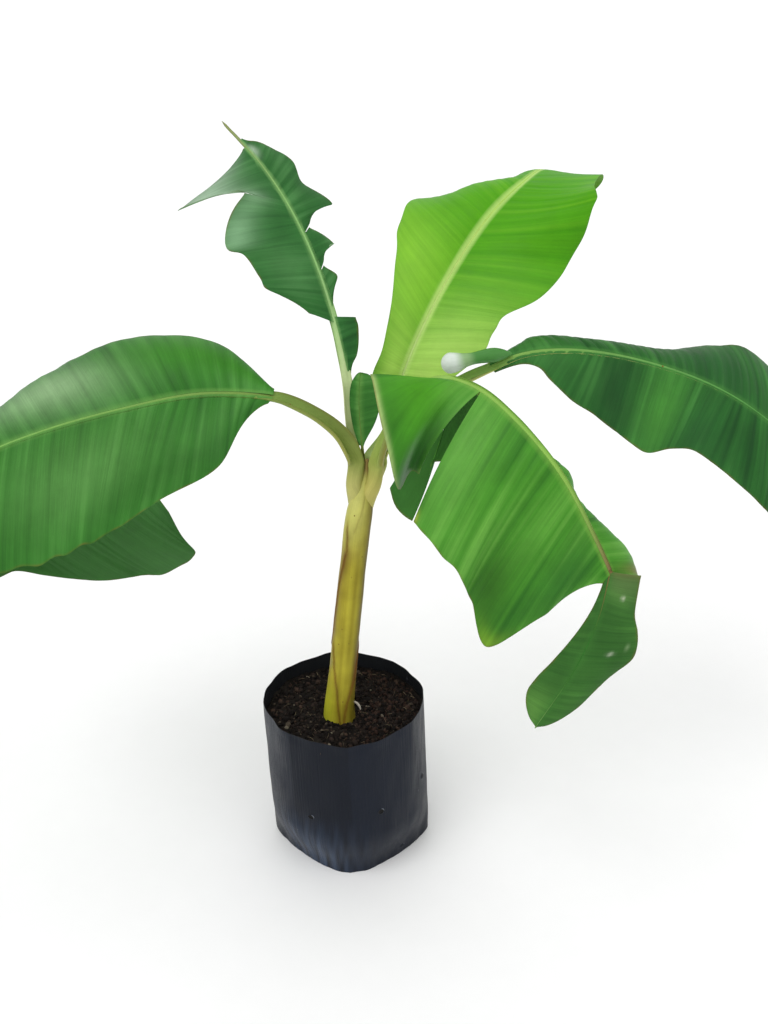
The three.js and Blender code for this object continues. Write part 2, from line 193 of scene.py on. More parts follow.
class CentreLine:
    """A smooth curve through points, read by its share of length."""

    STEPS = 60
    LEAST_GAP = 1e-4
    ALONG_STEP = 0.004

    def __init__(self, points: Sequence[Point]) -> None:
        """Lays the curve.

        Args:
            points: The points it passes through, in mm.
        """
        knots = np.array(points, float)
        ends = np.concatenate([[2 * knots[0] - knots[1]], knots, [2 * knots[-1] - knots[-2]]])
        pieces = [self._stretch(*ends[i:i + 4]) for i in range(len(knots) - 1)]
        self._dense = np.concatenate([*pieces, knots[-1:]])
        steps = np.linalg.norm(np.diff(self._dense, axis=0), axis=1)
        self._run = np.concatenate([[0.0], np.cumsum(steps)])
        self.length = float(self._run[-1])

    def _stretch(self, before: Array, start: Array, end: Array, after: Array) -> Array:
        """One stretch of a centripetal curve.

        Args:
            before: The point before the stretch.
            start: Its first point.
            end: Its last point.
            after: The point after it.

        Returns:
            Its points, without the last.
        """
        first, middle, last = (max(float(np.sum((p - q) ** 2)) ** 0.25, self.LEAST_GAP) for p, q in
                               ((before, start), (start, end), (end, after)))
        leave = (start - before) / first - (end - before) / (first + middle) + (end - start) / middle
        reach = (end - start) / middle - (after - start) / (middle + last) + (after - end) / last
        leave = leave * middle
        reach = reach * middle
        w = np.linspace(0, 1, self.STEPS, endpoint=False)[:, None]
        bend = -3 * start + 3 * end - 2 * leave - reach
        twist = 2 * start - 2 * end + leave + reach
        return start + w * (leave + w * (bend + w * twist))

    def share_of_knot(self, index: int) -> float:
        """The share of length at one of the points the curve was laid through."""
        return float(self._run[self.STEPS * index] / self.length)

    def at(self, share: Array) -> Array:
        """The points at shares of the length."""
        run = np.clip(share, 0, 1) * self.length
        return np.stack([np.interp(run, self._run, self._dense[:, k]) for k in range(3)], -1)

    def along(self, share: Array) -> Array:
        """The unit directions of travel at shares of the length."""
        step = self.ALONG_STEP
        return unit(self.at(np.minimum(share + step, 1)) - self.at(np.maximum(share - step, 0)))


# ---- Meshes ----------------------------------------------------------------------------------------------


class Body:
    """One mesh in the making: vertices with a colour and a trace, and faces with a finish.

    The trace is a vector in millimetres that a finish lays its streaks along.
    """

    CHART_EDGE = 0.03

    def __init__(self, name: str) -> None:
        """Starts an empty mesh.

        Args:
            name: The name of its piece.
        """
        self.name = name
        self._points: list[Array] = []
        self._colours: list[Array] = []
        self._traces: list[Array] = []
        self._faces: dict[int, list[Array]] = {4: [], 3: []}
        self._finishes: dict[int, list[Array]] = {4: [], 3: []}
        self._charts: dict[int, list[Array]] = {4: [], 3: []}
        self._count = 0
        self._bands = 0

    def points(self, points: Array, colours: Array, traces: Array) -> Array:
        """Adds vertices.

        Args:
            points: Their places, in mm, as a grid of any shape.
            colours: Their colours, or one for all.
            traces: Their traces, or one for all.

        Returns:
            Their numbers, in the shape of the grid.
        """
        shape = points.shape[:-1]
        size = int(np.prod(shape))
        self._points.append(points.reshape(-1, 3))
        self._colours.append(np.broadcast_to(colours, points.shape).reshape(-1, 3))
        self._traces.append(np.broadcast_to(traces, points.shape).reshape(-1, 3))
        numbers = np.arange(self._count, self._count + size).reshape(shape)
        self._count += size
        return numbers

    def faces(self, corners: Array, chart: Array, finish: int, flip: bool = False) -> None:
        """Adds faces of three or four corners.

        Args:
            corners: One row of vertex numbers for each face.
            chart: The place of each corner on a unit square of its own.
            finish: The number of the finish they take.
            flip: Whether the corners run the wrong way round.
        """
        if flip:
            corners, chart = corners[:, ::-1], chart[:, ::-1]
        sides = corners.shape[1]
        self._faces[sides].append(corners)
        self._finishes[sides].append(np.full(len(corners), finish))
        placed = chart.astype(float).copy()
        placed[..., 1] = self._bands + self.CHART_EDGE + (1 - 2 * self.CHART_EDGE) * placed[..., 1]
        self._charts[sides].append(placed)
        self._bands += 1

    def sheet(self, numbers: Array, finish: int, flip: bool = False, wrap: bool = False) -> None:
        """Covers a grid of vertices with quads.

        Args:
            numbers: The grid of vertex numbers.
            finish: The number of the finish they take.
            flip: Whether the grid runs the wrong way round.
            wrap: Whether the last column is joined to the first.
        """
        grid = np.concatenate([numbers, numbers[:, :1]], 1) if wrap else numbers
        rows, columns = grid.shape
        down, across = np.meshgrid(np.linspace(0, 1, rows), np.linspace(0, 1, columns), indexing="ij")
        places = np.stack([down, across], -1)
        corners = [(slice(0, -1), slice(0, -1)), (slice(0, -1), slice(1, None)),
                   (slice(1, None), slice(1, None)), (slice(1, None), slice(0, -1))]
        faces = np.stack([grid[c].ravel() for c in corners], 1)
        chart = np.stack([places[c].reshape(-1, 2) for c in corners], 1)
        self.faces(faces, chart, finish, flip)

    def shell(self, upper: Array, lower: Array, finishes: tuple[int, int], flip: bool) -> None:
        """Closes two grids of vertices into one thin body with a wall round its margin.

        Args:
            upper: The vertex numbers of the upper face.
            lower: The vertex numbers of the lower face.
            finishes: The numbers of the finishes of the two faces.
            flip: Whether the grids run the wrong way round.
        """
        self.sheet(upper, finishes[0], flip)
        self.sheet(lower, finishes[1], not flip)
        top, bottom = (np.concatenate([grid[0, :-1], grid[:-1, -1], grid[-1, :0:-1], grid[:0:-1, 0]])
                       for grid in (upper, lower))
        after = np.roll(top, -1), np.roll(bottom, -1)
        run = np.linspace(0, 1, len(top) + 1)
        chart = np.stack([np.stack([run[a:len(top) + a], np.full(len(top), b)], -1)
                          for a, b in ((0, 1), (0, 0), (1, 0), (1, 1))], 1)
        self.faces(np.stack([top, bottom, after[1], after[0]], 1), chart, finishes[0], flip)

    def tube(self, rings: Array, colours: Array, traces: Array, finish: int, flip: bool = False) -> None:
        """Adds a closed limb through rings of points, with a flat fan at each end.

        Args:
            rings: The points, ring by ring.
            colours: Their colours.
            traces: Their traces, or one for all.
            finish: The number of the finish.
            flip: Whether the rings run the wrong way round.
        """
        numbers = self.points(rings, colours, traces)
        self.sheet(numbers, finish, flip, wrap=True)
        for end, turned in ((0, not flip), (-1, flip)):
            middle = self.points(rings[end].mean(0)[None], colours[end].mean(0)[None],
                                 np.broadcast_to(traces, rings.shape)[end].mean(0)[None])
            ring = numbers[end]
            corners = np.stack([ring, np.roll(ring, -1), np.full(len(ring), middle[0])], 1)
            turn = np.linspace(0, 2 * math.pi, len(ring) + 1)
            rim = 0.5 + 0.5 * np.stack([np.cos(turn), np.sin(turn)], -1)
            chart = np.stack([rim[:-1], rim[1:], np.full((len(ring), 2), 0.5)], 1)
            self.faces(corners, chart, finish, turned)

    def make(self, materials: Sequence[bpy.types.Material], crease: float = 50.0) -> bpy.types.Object:
        """Makes the Blender object, in metres.

        Args:
            materials: The finishes in order of their numbers.
            crease: Edges that turn by more than this many degrees are drawn sharp.

        Returns:
            The new object, linked to the scene.
        """
        kinds = [k for k in (4, 3) if self._faces[k]]
        faces = {k: np.concatenate(self._faces[k]) for k in kinds}
        finishes = np.concatenate([np.concatenate(self._finishes[k]) for k in kinds])
        corners = np.concatenate([faces[k].ravel() for k in kinds])
        sizes = np.concatenate([np.full(len(faces[k]), k) for k in kinds])
        charts = np.concatenate([np.concatenate(self._charts[k]).reshape(-1, 2) for k in kinds])
        charts[:, 1] /= self._bands
        mesh = bpy.data.meshes.new(self.name)
        mesh.vertices.add(self._count)
        mesh.vertices.foreach_set("co", (np.concatenate(self._points) * MM).astype(np.float32).ravel())
        mesh.loops.add(len(corners))
        mesh.loops.foreach_set("vertex_index", corners.astype(np.int32))
        mesh.polygons.add(len(sizes))
        starts = np.concatenate([[0], np.cumsum(sizes)[:-1]])
        mesh.polygons.foreach_set("loop_start", starts.astype(np.int32))
        mesh.polygons.foreach_set("material_index", finishes.astype(np.int32))
        mesh.update(calc_edges=True)
        mesh.uv_layers.new(name="OFBake").data.foreach_set("uv", charts.astype(np.float32).ravel())
        colours = np.concatenate(self._colours)
        shade = mesh.color_attributes.new(name="shade", type="FLOAT_COLOR", domain="POINT")
        shade.data.foreach_set("color", np.c_[np.clip(colours, 0, 1), np.ones(len(colours))].astype(
            np.float32).ravel())
        trace = mesh.attributes.new("trace", "FLOAT_VECTOR", "POINT")
        trace.data.foreach_set("vector", np.concatenate(self._traces).astype(np.float32).ravel())
        mesh.shade_smooth()
        mesh.set_sharp_from_angle(angle=math.radians(crease))
        for material in materials:
            mesh.materials.append(material)
        made = bpy.data.objects.new(self.name, mesh)
        bpy.context.scene.collection.objects.link(made)
        return made


def settle(piece: bpy.types.Object, nodes: Sequence[str] = ()) -> None:
    """Places a piece on the plant's body and logs it.

    Args:
        piece: The finished piece.
        nodes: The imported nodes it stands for.
    """
    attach(piece, BODY)
    if nodes:
        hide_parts(*nodes)
    log.info("%s: %d faces, for %s", piece.name, len(piece.data.polygons), ", ".join(nodes) or "no node")


# ---- Materials -------------------------------------------------------------------------------------------


class Wiring:
    """A node tree with short ways to add to it."""

    def __init__(self, tree: bpy.types.NodeTree) -> None:
        """Takes the tree that is wired."""
        self.tree = tree

    def node(self, kind: str, **settings: object) -> bpy.types.Node:
        """Adds a node.

        Args:
            kind: Its type.
            **settings: Its settings by name.

        Returns:
            The new node.
        """
        node = self.tree.nodes.new(kind)
        for name, value in settings.items():
            setattr(node, name, value)
        return node

    def feed(self, node: bpy.types.Node, **values: object) -> bpy.types.Node:
        """Gives a node's inputs their values or links.

        Args:
            node: The node.
            **values: The values by input. A name's underscores stand for spaces.

        Returns:
            The same node.
        """
        for name, value in values.items():
            self.put(node.inputs[name.replace("_", " ")], value)
        return node

    def put(self, socket: bpy.types.NodeSocket, value: object) -> None:
        """Feeds one input.

        Args:
            socket: The input.
            value: Another socket to link to it, or the value it is set to.
        """
        if isinstance(value, bpy.types.NodeSocket):
            self.tree.links.new(value, socket)
        elif isinstance(value, tuple) and socket.type == "RGBA":
            socket.default_value = (*value[:3], 1.0)
        else:
            socket.default_value = value

    def math(self, operation: str, first: object, second: object = 0.0) -> bpy.types.NodeSocket:
        """Works out one sum.

        Args:
            operation: The sum's name.
            first: Its first number or socket.
            second: Its second.

        Returns:
            The result's socket.
        """
        node = self.node("ShaderNodeMath", operation=operation)
        self.put(node.inputs[0], first)
        self.put(node.inputs[1], second)
        return node.outputs[0]

    def mix(self, base: object, over: object, amount: object,
            how: Blend = Blend.MIX) -> bpy.types.NodeSocket:
        """Mixes two colours.

        Args:
            base: The colour below.
            over: The colour laid over it.
            amount: How much of it is laid on.
            how: The way they mix.

        Returns:
            The mixed colour's socket.
        """
        node = self.node("ShaderNodeMix", data_type="RGBA", blend_type=how.value)
        self.put(node.inputs["Factor"], amount)
        self.put(node.inputs[6], base)
        self.put(node.inputs[7], over)
        return node.outputs[2]

    def span(self, value: object, source: tuple[float, float],
             to: tuple[float, float]) -> bpy.types.NodeSocket:
        """Carries a value from one range to another and holds it inside that.

        Args:
            value: The value.
            source: The range it comes in.
            to: The range it leaves in.

        Returns:
            The new value's socket.
        """
        node = self.node("ShaderNodeMapRange")
        self.feed(node, Value=value, From_Min=source[0], From_Max=source[1], To_Min=to[0], To_Max=to[1])
        return node.outputs["Result"]

    def effect(self, effect: "Effect", **values: object) -> bpy.types.Node:
        """Places a shared effect and feeds its inputs."""
        node = self.node("ShaderNodeGroup", node_tree=effect.tree())
        return self.feed(node, **values)


@dataclass(frozen=True)
class Effect:
    """A shared surface effect: a shader node group built once and placed in many finishes."""

    name: str
    inputs: tuple[tuple[str, str, object], ...]
    outputs: tuple[str, ...]
    wire: Callable[[Wiring, bpy.types.Node], dict[str, bpy.types.NodeSocket]]

    def tree(self) -> bpy.types.NodeTree:
        """Gives the node group, which is made when it is first asked for.

        Returns:
            The group's tree.
        """
        found = bpy.data.node_groups.get(self.name)
        if found:
            return found
        tree = bpy.data.node_groups.new(self.name, "ShaderNodeTree")
        for name, kind, value in self.inputs:
            socket = tree.interface.new_socket(name=name, in_out="INPUT", socket_type=kind)
            if value is not None:
                socket.default_value = value
        for name in self.outputs:
            tree.interface.new_socket(name=name, in_out="OUTPUT", socket_type="NodeSocketFloat")
        wiring = Wiring(tree)
        entry = wiring.node("NodeGroupInput")
        leave = wiring.node("NodeGroupOutput")
        for name, socket in self.wire(wiring, entry).items():
            tree.links.new(socket, leave.inputs[name])
        return tree


NOISE_RANGE = (0.3, 0.7)
FLECK_REACH = 0.22


def wire_tone(wiring: Wiring, noise: bpy.types.Node,
              contrast: bpy.types.NodeSocket) -> dict[str, bpy.types.NodeSocket]:
    """Makes what streaks and mottle both put out.

    Args:
        wiring: The group in the making.
        noise: The noise they come from.
        contrast: How much the tone swings about one.

    Returns:
        The tone and the height.
    """
    height = wiring.span(noise.outputs["Fac"], NOISE_RANGE, (0.0, 1.0))
    swing = wiring.math("MULTIPLY", wiring.math("SUBTRACT", height, 0.5), contrast)
    return {"Light": wiring.math("ADD", 1.0, swing), "Height": height}


def wire_streaks(wiring: Wiring, entry: bpy.types.Node) -> dict[str, bpy.types.NodeSocket]:
    """Wires fine irregular lines that run across the trace's first number, as veins and fibres do.

    Args:
        wiring: The group in the making.
        entry: Its inputs.

    Returns:
        The tone and the height.
    """
    stretch = wiring.node("ShaderNodeCombineXYZ")
    wiring.feed(stretch, X=wiring.math("DIVIDE", 1.0, entry.outputs["Pitch"]),
                Y=wiring.math("DIVIDE", 1.0, entry.outputs["Run"]), Z=1.0)
    place = wiring.node("ShaderNodeVectorMath", operation="MULTIPLY")
    wiring.put(place.inputs[0], entry.outputs["Trace"])
    wiring.put(place.inputs[1], stretch.outputs[0])
    noise = wiring.node("ShaderNodeTexNoise", noise_dimensions="3D")
    wiring.feed(noise, Vector=place.outputs[0], Scale=1.0, Detail=3.0, Roughness=0.65)
    return wire_tone(wiring, noise, entry.outputs["Contrast"])


def wire_mottle(wiring: Wiring, entry: bpy.types.Node) -> dict[str, bpy.types.NodeSocket]:
    """Wires soft cloudy patches of lighter and darker tone.

    Args:
        wiring: The group in the making.
        entry: Its inputs.

    Returns:
        The tone and the height.
    """
    place = wiring.node("ShaderNodeTexCoord")
    noise = wiring.node("ShaderNodeTexNoise", noise_dimensions="3D")
    scale = wiring.math("DIVIDE", 1.0, entry.outputs["Size"])
    wiring.feed(noise, Vector=place.outputs["Object"], Scale=scale, Detail=4.0, Roughness=0.6)
    return wire_tone(wiring, noise, entry.outputs["Contrast"])


def wire_flecks(wiring: Wiring, entry: bpy.types.Node) -> dict[str, bpy.types.NodeSocket]:
    """Wires sparse small spots.

    Args:
        wiring: The group in the making.
        entry: Its inputs.

    Returns:
        The spots' mask.
    """
    place = wiring.node("ShaderNodeTexCoord")
    cells = wiring.node("ShaderNodeTexVoronoi", voronoi_dimensions="3D", feature="F1")
    scale = wiring.math("DIVIDE", 1.0, entry.outputs["Size"])
    wiring.feed(cells, Vector=place.outputs["Object"], Scale=scale, Randomness=1.0)
    near = wiring.math("LESS_THAN", cells.outputs["Distance"], FLECK_REACH)
    chosen = wiring.node("ShaderNodeSeparateColor")
    wiring.feed(chosen, Color=cells.outputs["Color"])
    few = wiring.math("LESS_THAN", chosen.outputs["Red"], entry.outputs["Share"])
    return {"Mask": wiring.math("MULTIPLY", near, few)}


STREAKS = Effect("Fine streaks",
                 (("Trace", "NodeSocketVector", None), ("Pitch", "NodeSocketFloat", 2.0),
                  ("Run", "NodeSocketFloat", 60.0), ("Contrast", "NodeSocketFloat", 0.2)),
                 ("Light", "Height"), wire_streaks)
MOTTLE = Effect("Soft mottle", (("Size", "NodeSocketFloat", 0.02), ("Contrast", "NodeSocketFloat", 0.2)),
                ("Light", "Height"), wire_mottle)
FLECKS = Effect("Small flecks", (("Size", "NodeSocketFloat", 0.008), ("Share", "NodeSocketFloat", 0.05)),
                ("Mask",), wire_flecks)


@dataclass(frozen=True)
class Finish:
    """The finish of a surface: its painted shade with streaks, mottle, flecks and relief over it.

    Pitch and run are in mm, and the sizes and the relief in metres. Gain is a factor on the shade.
    """

    name: str
    roughness: tuple[float, float] = (0.38, 0.55)
    pitch: float = 1.6
    run: float = 70.0
    streak: float = 0.22
    mottle_size: float = 0.03
    mottle: float = 0.18
    fleck: Colour = paint(120, 110, 60)
    fleck_size: float = 0.009
    fleck_share: float = 0.0
    relief: float = 0.00025
    relief_strength: float = 0.5
    gain: float = 0.8
    specular: float = 0.12

    def material(self) -> bpy.types.Material:
        """Gives the material, which is made when it is first asked for.

        Returns:
            The material.
        """
        name = f"finish_{self.name}"
        found = bpy.data.materials.get(name)
        if found:
            return found
        material = bpy.data.materials.new(name)
        material.use_nodes = True
        material.node_tree.nodes.clear()
        wiring = Wiring(material.node_tree)
        shade = wiring.node("ShaderNodeAttribute", attribute_name="shade")
        trace = wiring.node("ShaderNodeAttribute", attribute_name="trace")
        streaks = wiring.effect(STREAKS, Trace=trace.outputs["Vector"], Pitch=self.pitch, Run=self.run,
                                Contrast=self.streak)
        mottle = wiring.effect(MOTTLE, Size=self.mottle_size, Contrast=self.mottle)
        flecks = wiring.effect(FLECKS, Size=self.fleck_size, Share=self.fleck_share)
        light = wiring.math("MULTIPLY", streaks.outputs["Light"], mottle.outputs["Light"])
        light = wiring.math("MULTIPLY", light, self.gain)
        grey = wiring.node("ShaderNodeCombineColor")
        wiring.feed(grey, Red=light, Green=light, Blue=light)
        colour = wiring.mix(shade.outputs["Color"], grey.outputs[0], 1.0, Blend.MULTIPLY)
        colour = wiring.mix(colour, self.fleck, flecks.outputs["Mask"])
        bump = wiring.node("ShaderNodeBump")
        wiring.feed(bump, Strength=self.relief_strength, Distance=self.relief,
                    Height=streaks.outputs["Height"])
        surface = wiring.node("ShaderNodeBsdfPrincipled")
        wiring.feed(surface, Base_Color=colour, Normal=bump.outputs["Normal"],
                    Specular_IOR_Level=self.specular,
                    Roughness=wiring.span(mottle.outputs["Height"], (0.0, 1.0), self.roughness))
        leave = wiring.node("ShaderNodeOutputMaterial")
        wiring.feed(leave, Surface=surface.outputs["BSDF"])
        return material


UPPER = Finish("blade_upper_face")
UNDER = Finish("blade_under_face", roughness=(0.5, 0.65), streak=0.16, relief_strength=0.7, specular=0.08)
YOUNG = Finish("young_blade_upper_face", streak=0.14, mottle=0.12, roughness=(0.42, 0.56), gain=0.86)
STALK = Finish("leaf_stalk", roughness=(0.36, 0.5), pitch=1.1, run=160.0, streak=0.16, mottle_size=0.02,
               mottle=0.14, fleck=paint(120, 92, 40), fleck_size=0.005, fleck_share=0.02)
WAX = Finish("waxy_roll", roughness=(0.3, 0.42), pitch=1.6, run=60.0, streak=0.1, mottle=0.1, gain=0.95,
             specular=0.35)
STEM = Finish("false_stem_sheath", roughness=(0.34, 0.5), pitch=1.3, run=150.0, streak=0.16,
              mottle_size=0.018, mottle=0.2, fleck=paint(120, 100, 40), fleck_size=0.004, fleck_share=0.05,
              relief_strength=0.4, gain=0.96)
FILM = Finish("bag_film", roughness=(0.34, 0.5), pitch=2.4, run=90.0, streak=0.05, mottle_size=0.05,
              mottle=0.18, fleck=paint(70, 72, 78), fleck_size=0.007, fleck_share=0.01, relief=0.0008,
              relief_strength=0.4, gain=0.42, specular=0.15)
MIX = Finish("potting_mix", roughness=(0.8, 0.98), pitch=2.0, run=2.0, streak=0.7, mottle_size=0.006,
             mottle=0.6, fleck=paint(70, 62, 54), fleck_size=0.0025, fleck_share=0.06, relief=0.0015,
             relief_strength=0.8, gain=0.6, specular=0.08)
CRUMB = Finish("mix_crumbs", roughness=(0.75, 0.95), pitch=1.0, run=3.0, streak=0.5, mottle_size=0.004,
               mottle=0.5, relief=0.0006, relief_strength=0.6, gain=0.6, specular=0.08)


# ---- Leaves ----------------------------------------------------------------------------------------------


@dataclass(frozen=True)
class Lobe:
    """A stretch of blade on one side of the midrib.

    Each list is spread evenly over the lobe's span of the midrib: half widths in mm, the angles in degrees
    above the face at the midrib (rise) and at the margin (hang), and how far the veins run forward (sweep).
    """

    side: Side
    span: tuple[float, float]
    width: tuple[float, ...]
    rise: tuple[float, ...]
    hang: tuple[float, ...]
    sweep: tuple[float, ...]
    tip_round: float = 0.0


@dataclass(frozen=True)
class Patch:
    """A soft spot of another colour on a blade: at u along the midrib and v across to the margin."""

    side: Side
    at: tuple[float, float]
    size: tuple[float, float]
    colour: Colour
    strength: float = 0.8


@dataclass(frozen=True)
class Relief:
    """The folds of a blade, in mm: pleats along the veins, slow billows and a frilled margin."""

    pitch: float = 13.0
    pitch_drift: float = 0.4
    pitch_drift_length: float = 45.0
    pleat: float = 0.9
    ribbing_pitch: float = 3.4
    ribbing: float = 0.12
    billow: float = 3.0
    billow_length: float = 70.0
    frill: float = 0.9
    frill_length: float = 34.0


@dataclass(frozen=True)
class Palette:
    """The colours of a leaf's blade."""

    deep: Colour
    middle: Colour
    bright: Colour
    under: Colour
    rib: Colour
    margin: Colour = paint(120, 96, 40)
    margin_amount: float = 0.6
    stripe: float = 0.36
    rib_band: float = 5.0
    rib_amount: float = 0.4


@dataclass(frozen=True)
class StalkPaint:
    """The colours along a leaf's stalk and midrib, spread evenly from end to end, and at its root."""

    back: tuple[Colour, ...]
    channel: tuple[Colour, ...]
    root: Colour = paint(206, 202, 120)
    lip: Colour = paint(128, 104, 48)
    lip_amount: tuple[float, ...] = (0.3, 0.6, 0.1, 0.0)


@dataclass(frozen=True)
class LeafPlan:
    """All that shapes and colours one leaf."""

    name: str
    rib: tuple[Point, ...]
    radii: tuple[float, ...]
    face: tuple[Point, ...]
    lobes: dict[str, Lobe]
    sheets: tuple[tuple[str, ...], ...]
    palette: Palette
    stalk_paint: StalkPaint
    slot: str
    stalk: tuple[Point, ...] = ()
    spike: tuple[Point, ...] = ()
    root: tuple[Point, ...] = ()
    groove: tuple[float, ...] = (1.0, 0.9, 0.6, 0.4, 0.2)
    relief: Relief = Relief()
    patches: tuple[Patch, ...] = ()
    midribs: tuple[str, ...] = ("",)
    upper: Finish = UPPER
    seed: int = 1


class Leaf:
    """A leaf: its stalk with its midrib, and its blade."""

    ROW_STEP = 2.2
    COLUMN_STEP = 3.2
    LEAST_ROWS = 12
    LEAST_COLUMNS = 6
    THICKNESS = 0.55
    SEAT = 0.24
    LEAST_WIDTH = 1.2
    LEAST_TURN = 1e-4
    FLAT_WIDTH = 30.0
    LOBE_JOIN = 5
    MARGIN_WANDER = 0.012
    MARGIN_SWELL = 22.0
    BAND_LENGTH = 15.0
    FINE_BAND_LENGTH = 4.5
    CLOUD_LENGTH = 90.0
    WEAR_LENGTH = 12.0
    SHEET_OFFSET = 17.0
    LIMB_STEP = 3.0
    LIMB_SIDES = 32
    LIMB_WANDER = 0.03
    LIMB_SWELL = 30.0
    CHANNEL_FLOOR = -0.35
    CREST = 0.24
    CREST_WIDTH = 0.36
    ROOT_LEVEL = 478.0
    ROOT_TINT = 42.0

    def __init__(self, plan: LeafPlan) -> None:
        """Lays the leaf's centre line.

        Args:
            plan: The leaf's sizes and colours.
        """
        self.plan = plan
        self.line = CentreLine(plan.root + plan.stalk + plan.rib + plan.spike)
        below = len(plan.root)
        self.fork = self.line.share_of_knot(below)
        self.start = self.line.share_of_knot(below + len(plan.stalk))
        self.end = self.line.share_of_knot(below + len(plan.stalk) + len(plan.rib) - 1)

    def axes(self, place: Array) -> tuple[Array, Array, Array]:
        """Gives the leaf's own directions.

        Args:
            place: Shares of the line.

        Returns:
            The unit directions along the line, up from the face and out to the right.
        """
        along = self.line.along(place)
        up = spread(self.plan.face, (place - self.start) / (self.end - self.start))
        up = unit(up - along * np.sum(up * along, -1, keepdims=True))
        return along, up, np.cross(along, up)

    def radius(self, place: Array) -> Array:
        """The limb's radius at shares of the line. Below the fork it keeps its first radius."""
        return spread(self.plan.radii, (place - self.fork) / (1 - self.fork))

    def _profile(self, sheet: Sequence[Lobe], u: Array, name: str) -> Array:
        """Reads one of the lists of a sheet's lobes, eased where one lobe meets the next.

        Args:
            sheet: The lobes.
            u: Shares of the midrib.
            name: The list's name.

        Returns:
            Its value at each share.
        """
        values = np.zeros(len(u))
        for lobe in sheet:
            t = (u - lobe.span[0]) / (lobe.span[1] - lobe.span[0])
            begun = (t >= 0) | (lobe is sheet[0])
            values = np.where(begun, spread(getattr(lobe, name), t), values)
        if len(sheet) == 1:
            return values
        kernel = np.hanning(2 * self.LOBE_JOIN + 1)
        kernel /= kernel.sum()
        return np.convolve(np.pad(values, self.LOBE_JOIN, mode="edge"), kernel, mode="valid")

    def _reach(self, sheet: Sequence[Lobe], u: Array, run: Array) -> Array:
        """Works out the half width along a sheet, with its rounded tip and its slightly uneven margin.

        Args:
            sheet: The lobes.
            u: Shares of the midrib.
            run: The same places in mm along the line.

        Returns:
            The half width at each place, in mm.
        """
        last = sheet[-1]
        width = self._profile(sheet, u, "width")
        if last.tip_round:
            left = np.clip((last.span[1] - u) / (last.span[1] - last.span[0]) / last.tip_round, 0, 1)
            width = width * np.sqrt(np.clip(1 - (1 - left) ** 2, 0, 1))
        wander = Ripple(self.plan.seed + 40 + int(last.side))
        return width * (1 + self.MARGIN_WANDER * wander(run / self.MARGIN_SWELL))

    def _height(self, run: Array, v: Array, side: Side) -> tuple[Array, Array]:
        """Works out a blade's folds.

        Args:
            run: The rows' places in mm along the line.
            v: Shares of the way out to the margin.
            side: The side of the midrib.

        Returns:
            How far each place stands off the smooth surface, in mm, and how much of a furrow it is.
        """
        relief = self.plan.relief
        seed = self.plan.seed + (0 if side is Side.RIGHT else 20)
        drift = Ripple(seed)(run / relief.pitch_drift_length)
        furrow = np.abs(np.cos(math.pi * (run / relief.pitch + relief.pitch_drift * drift))) ** 0.7
        ribbing = np.sin(2 * math.pi * run / relief.ribbing_pitch + 2 * drift)
        near = ease(0, 0.08, v)
        height = relief.pleat * (furrow - 0.6) * near * (1 - 0.8 * v ** 2)
        height = height + relief.ribbing * ribbing * near * (1 - v ** 2)
        height = height + relief.billow * Ripple(seed + 1)(run / relief.billow_length, v * 0.8) * v ** 1.3
        height = height + relief.frill * Ripple(seed + 2)(run / relief.frill_length, v * 1.5) * v ** 5
        return height, furrow

    def _shades(self, u: Array, run: Array, v: Array, reach: Array, furrow: Array,
                side: Side) -> tuple[Array, Array]:
        """Paints a blade, with painted light on its pleats' crests and painted shade in their hollows.

        Args:
            u: The rows' shares of the midrib.
            run: The rows' places in mm along the line.
            v: Shares of the way out to the margin.
            reach: The rows' half widths in mm.
            furrow: How much of a furrow each place is.
            side: The side of the midrib.

        Returns:
            The colours of the upper and of the under face.
        """
        palette = self.plan.palette
        seed = self.plan.seed + (60 if side is Side.RIGHT else 80)
        broad = Ripple(seed)(run / self.BAND_LENGTH, v * 0.25)
        fine = Ripple(seed + 1)(run / self.FINE_BAND_LENGTH, v * 0.2)
        bands = 0.55 * broad + 0.35 * fine
        clouds = 0.5 * Ripple(seed + 2)(run / self.CLOUD_LENGTH, v * 1.2)
        # The furrow term paints the pleats: lighter on their raised crests, painted shade in their hollows.
        tone = np.clip(0.5 + palette.stripe * bands + 0.45 * clouds + 0.22 * (furrow - 0.6), 0, 1)
        deep = np.broadcast_to(palette.deep, tone.shape + (3,))
        upper = blend(blend(deep, palette.middle, ease(0, 0.55, tone)), palette.bright, ease(0.5, 1, tone))
        under = blend(np.broadcast_to(palette.under, tone.shape + (3,)), palette.middle, 0.35 * (1 - tone))
        for patch in self.plan.patches:
            if patch.side == side:
                away = ((u - patch.at[0]) / patch.size[0]) ** 2 + ((v - patch.at[1]) / patch.size[1]) ** 2
                amount = patch.strength * np.exp(-away) * (0.9 + 0.4 * (tone - 0.5))
                upper = blend(upper, patch.colour, np.clip(amount, 0, 1))
        from_rib = v * reach
        upper = blend(upper, palette.rib, palette.rib_amount * ease(palette.rib_band, 1, from_rib))
        under = blend(under, palette.rib, 0.4 * ease(6, 1.5, from_rib))
        worn = 0.5 + 0.5 * Ripple(seed + 3)(run / self.WEAR_LENGTH, 0.0)
        margin = palette.margin_amount * ease(2.4, 0.4, (1 - v) * reach) * worn
        return blend(upper, palette.margin, margin), blend(under, palette.margin, margin)

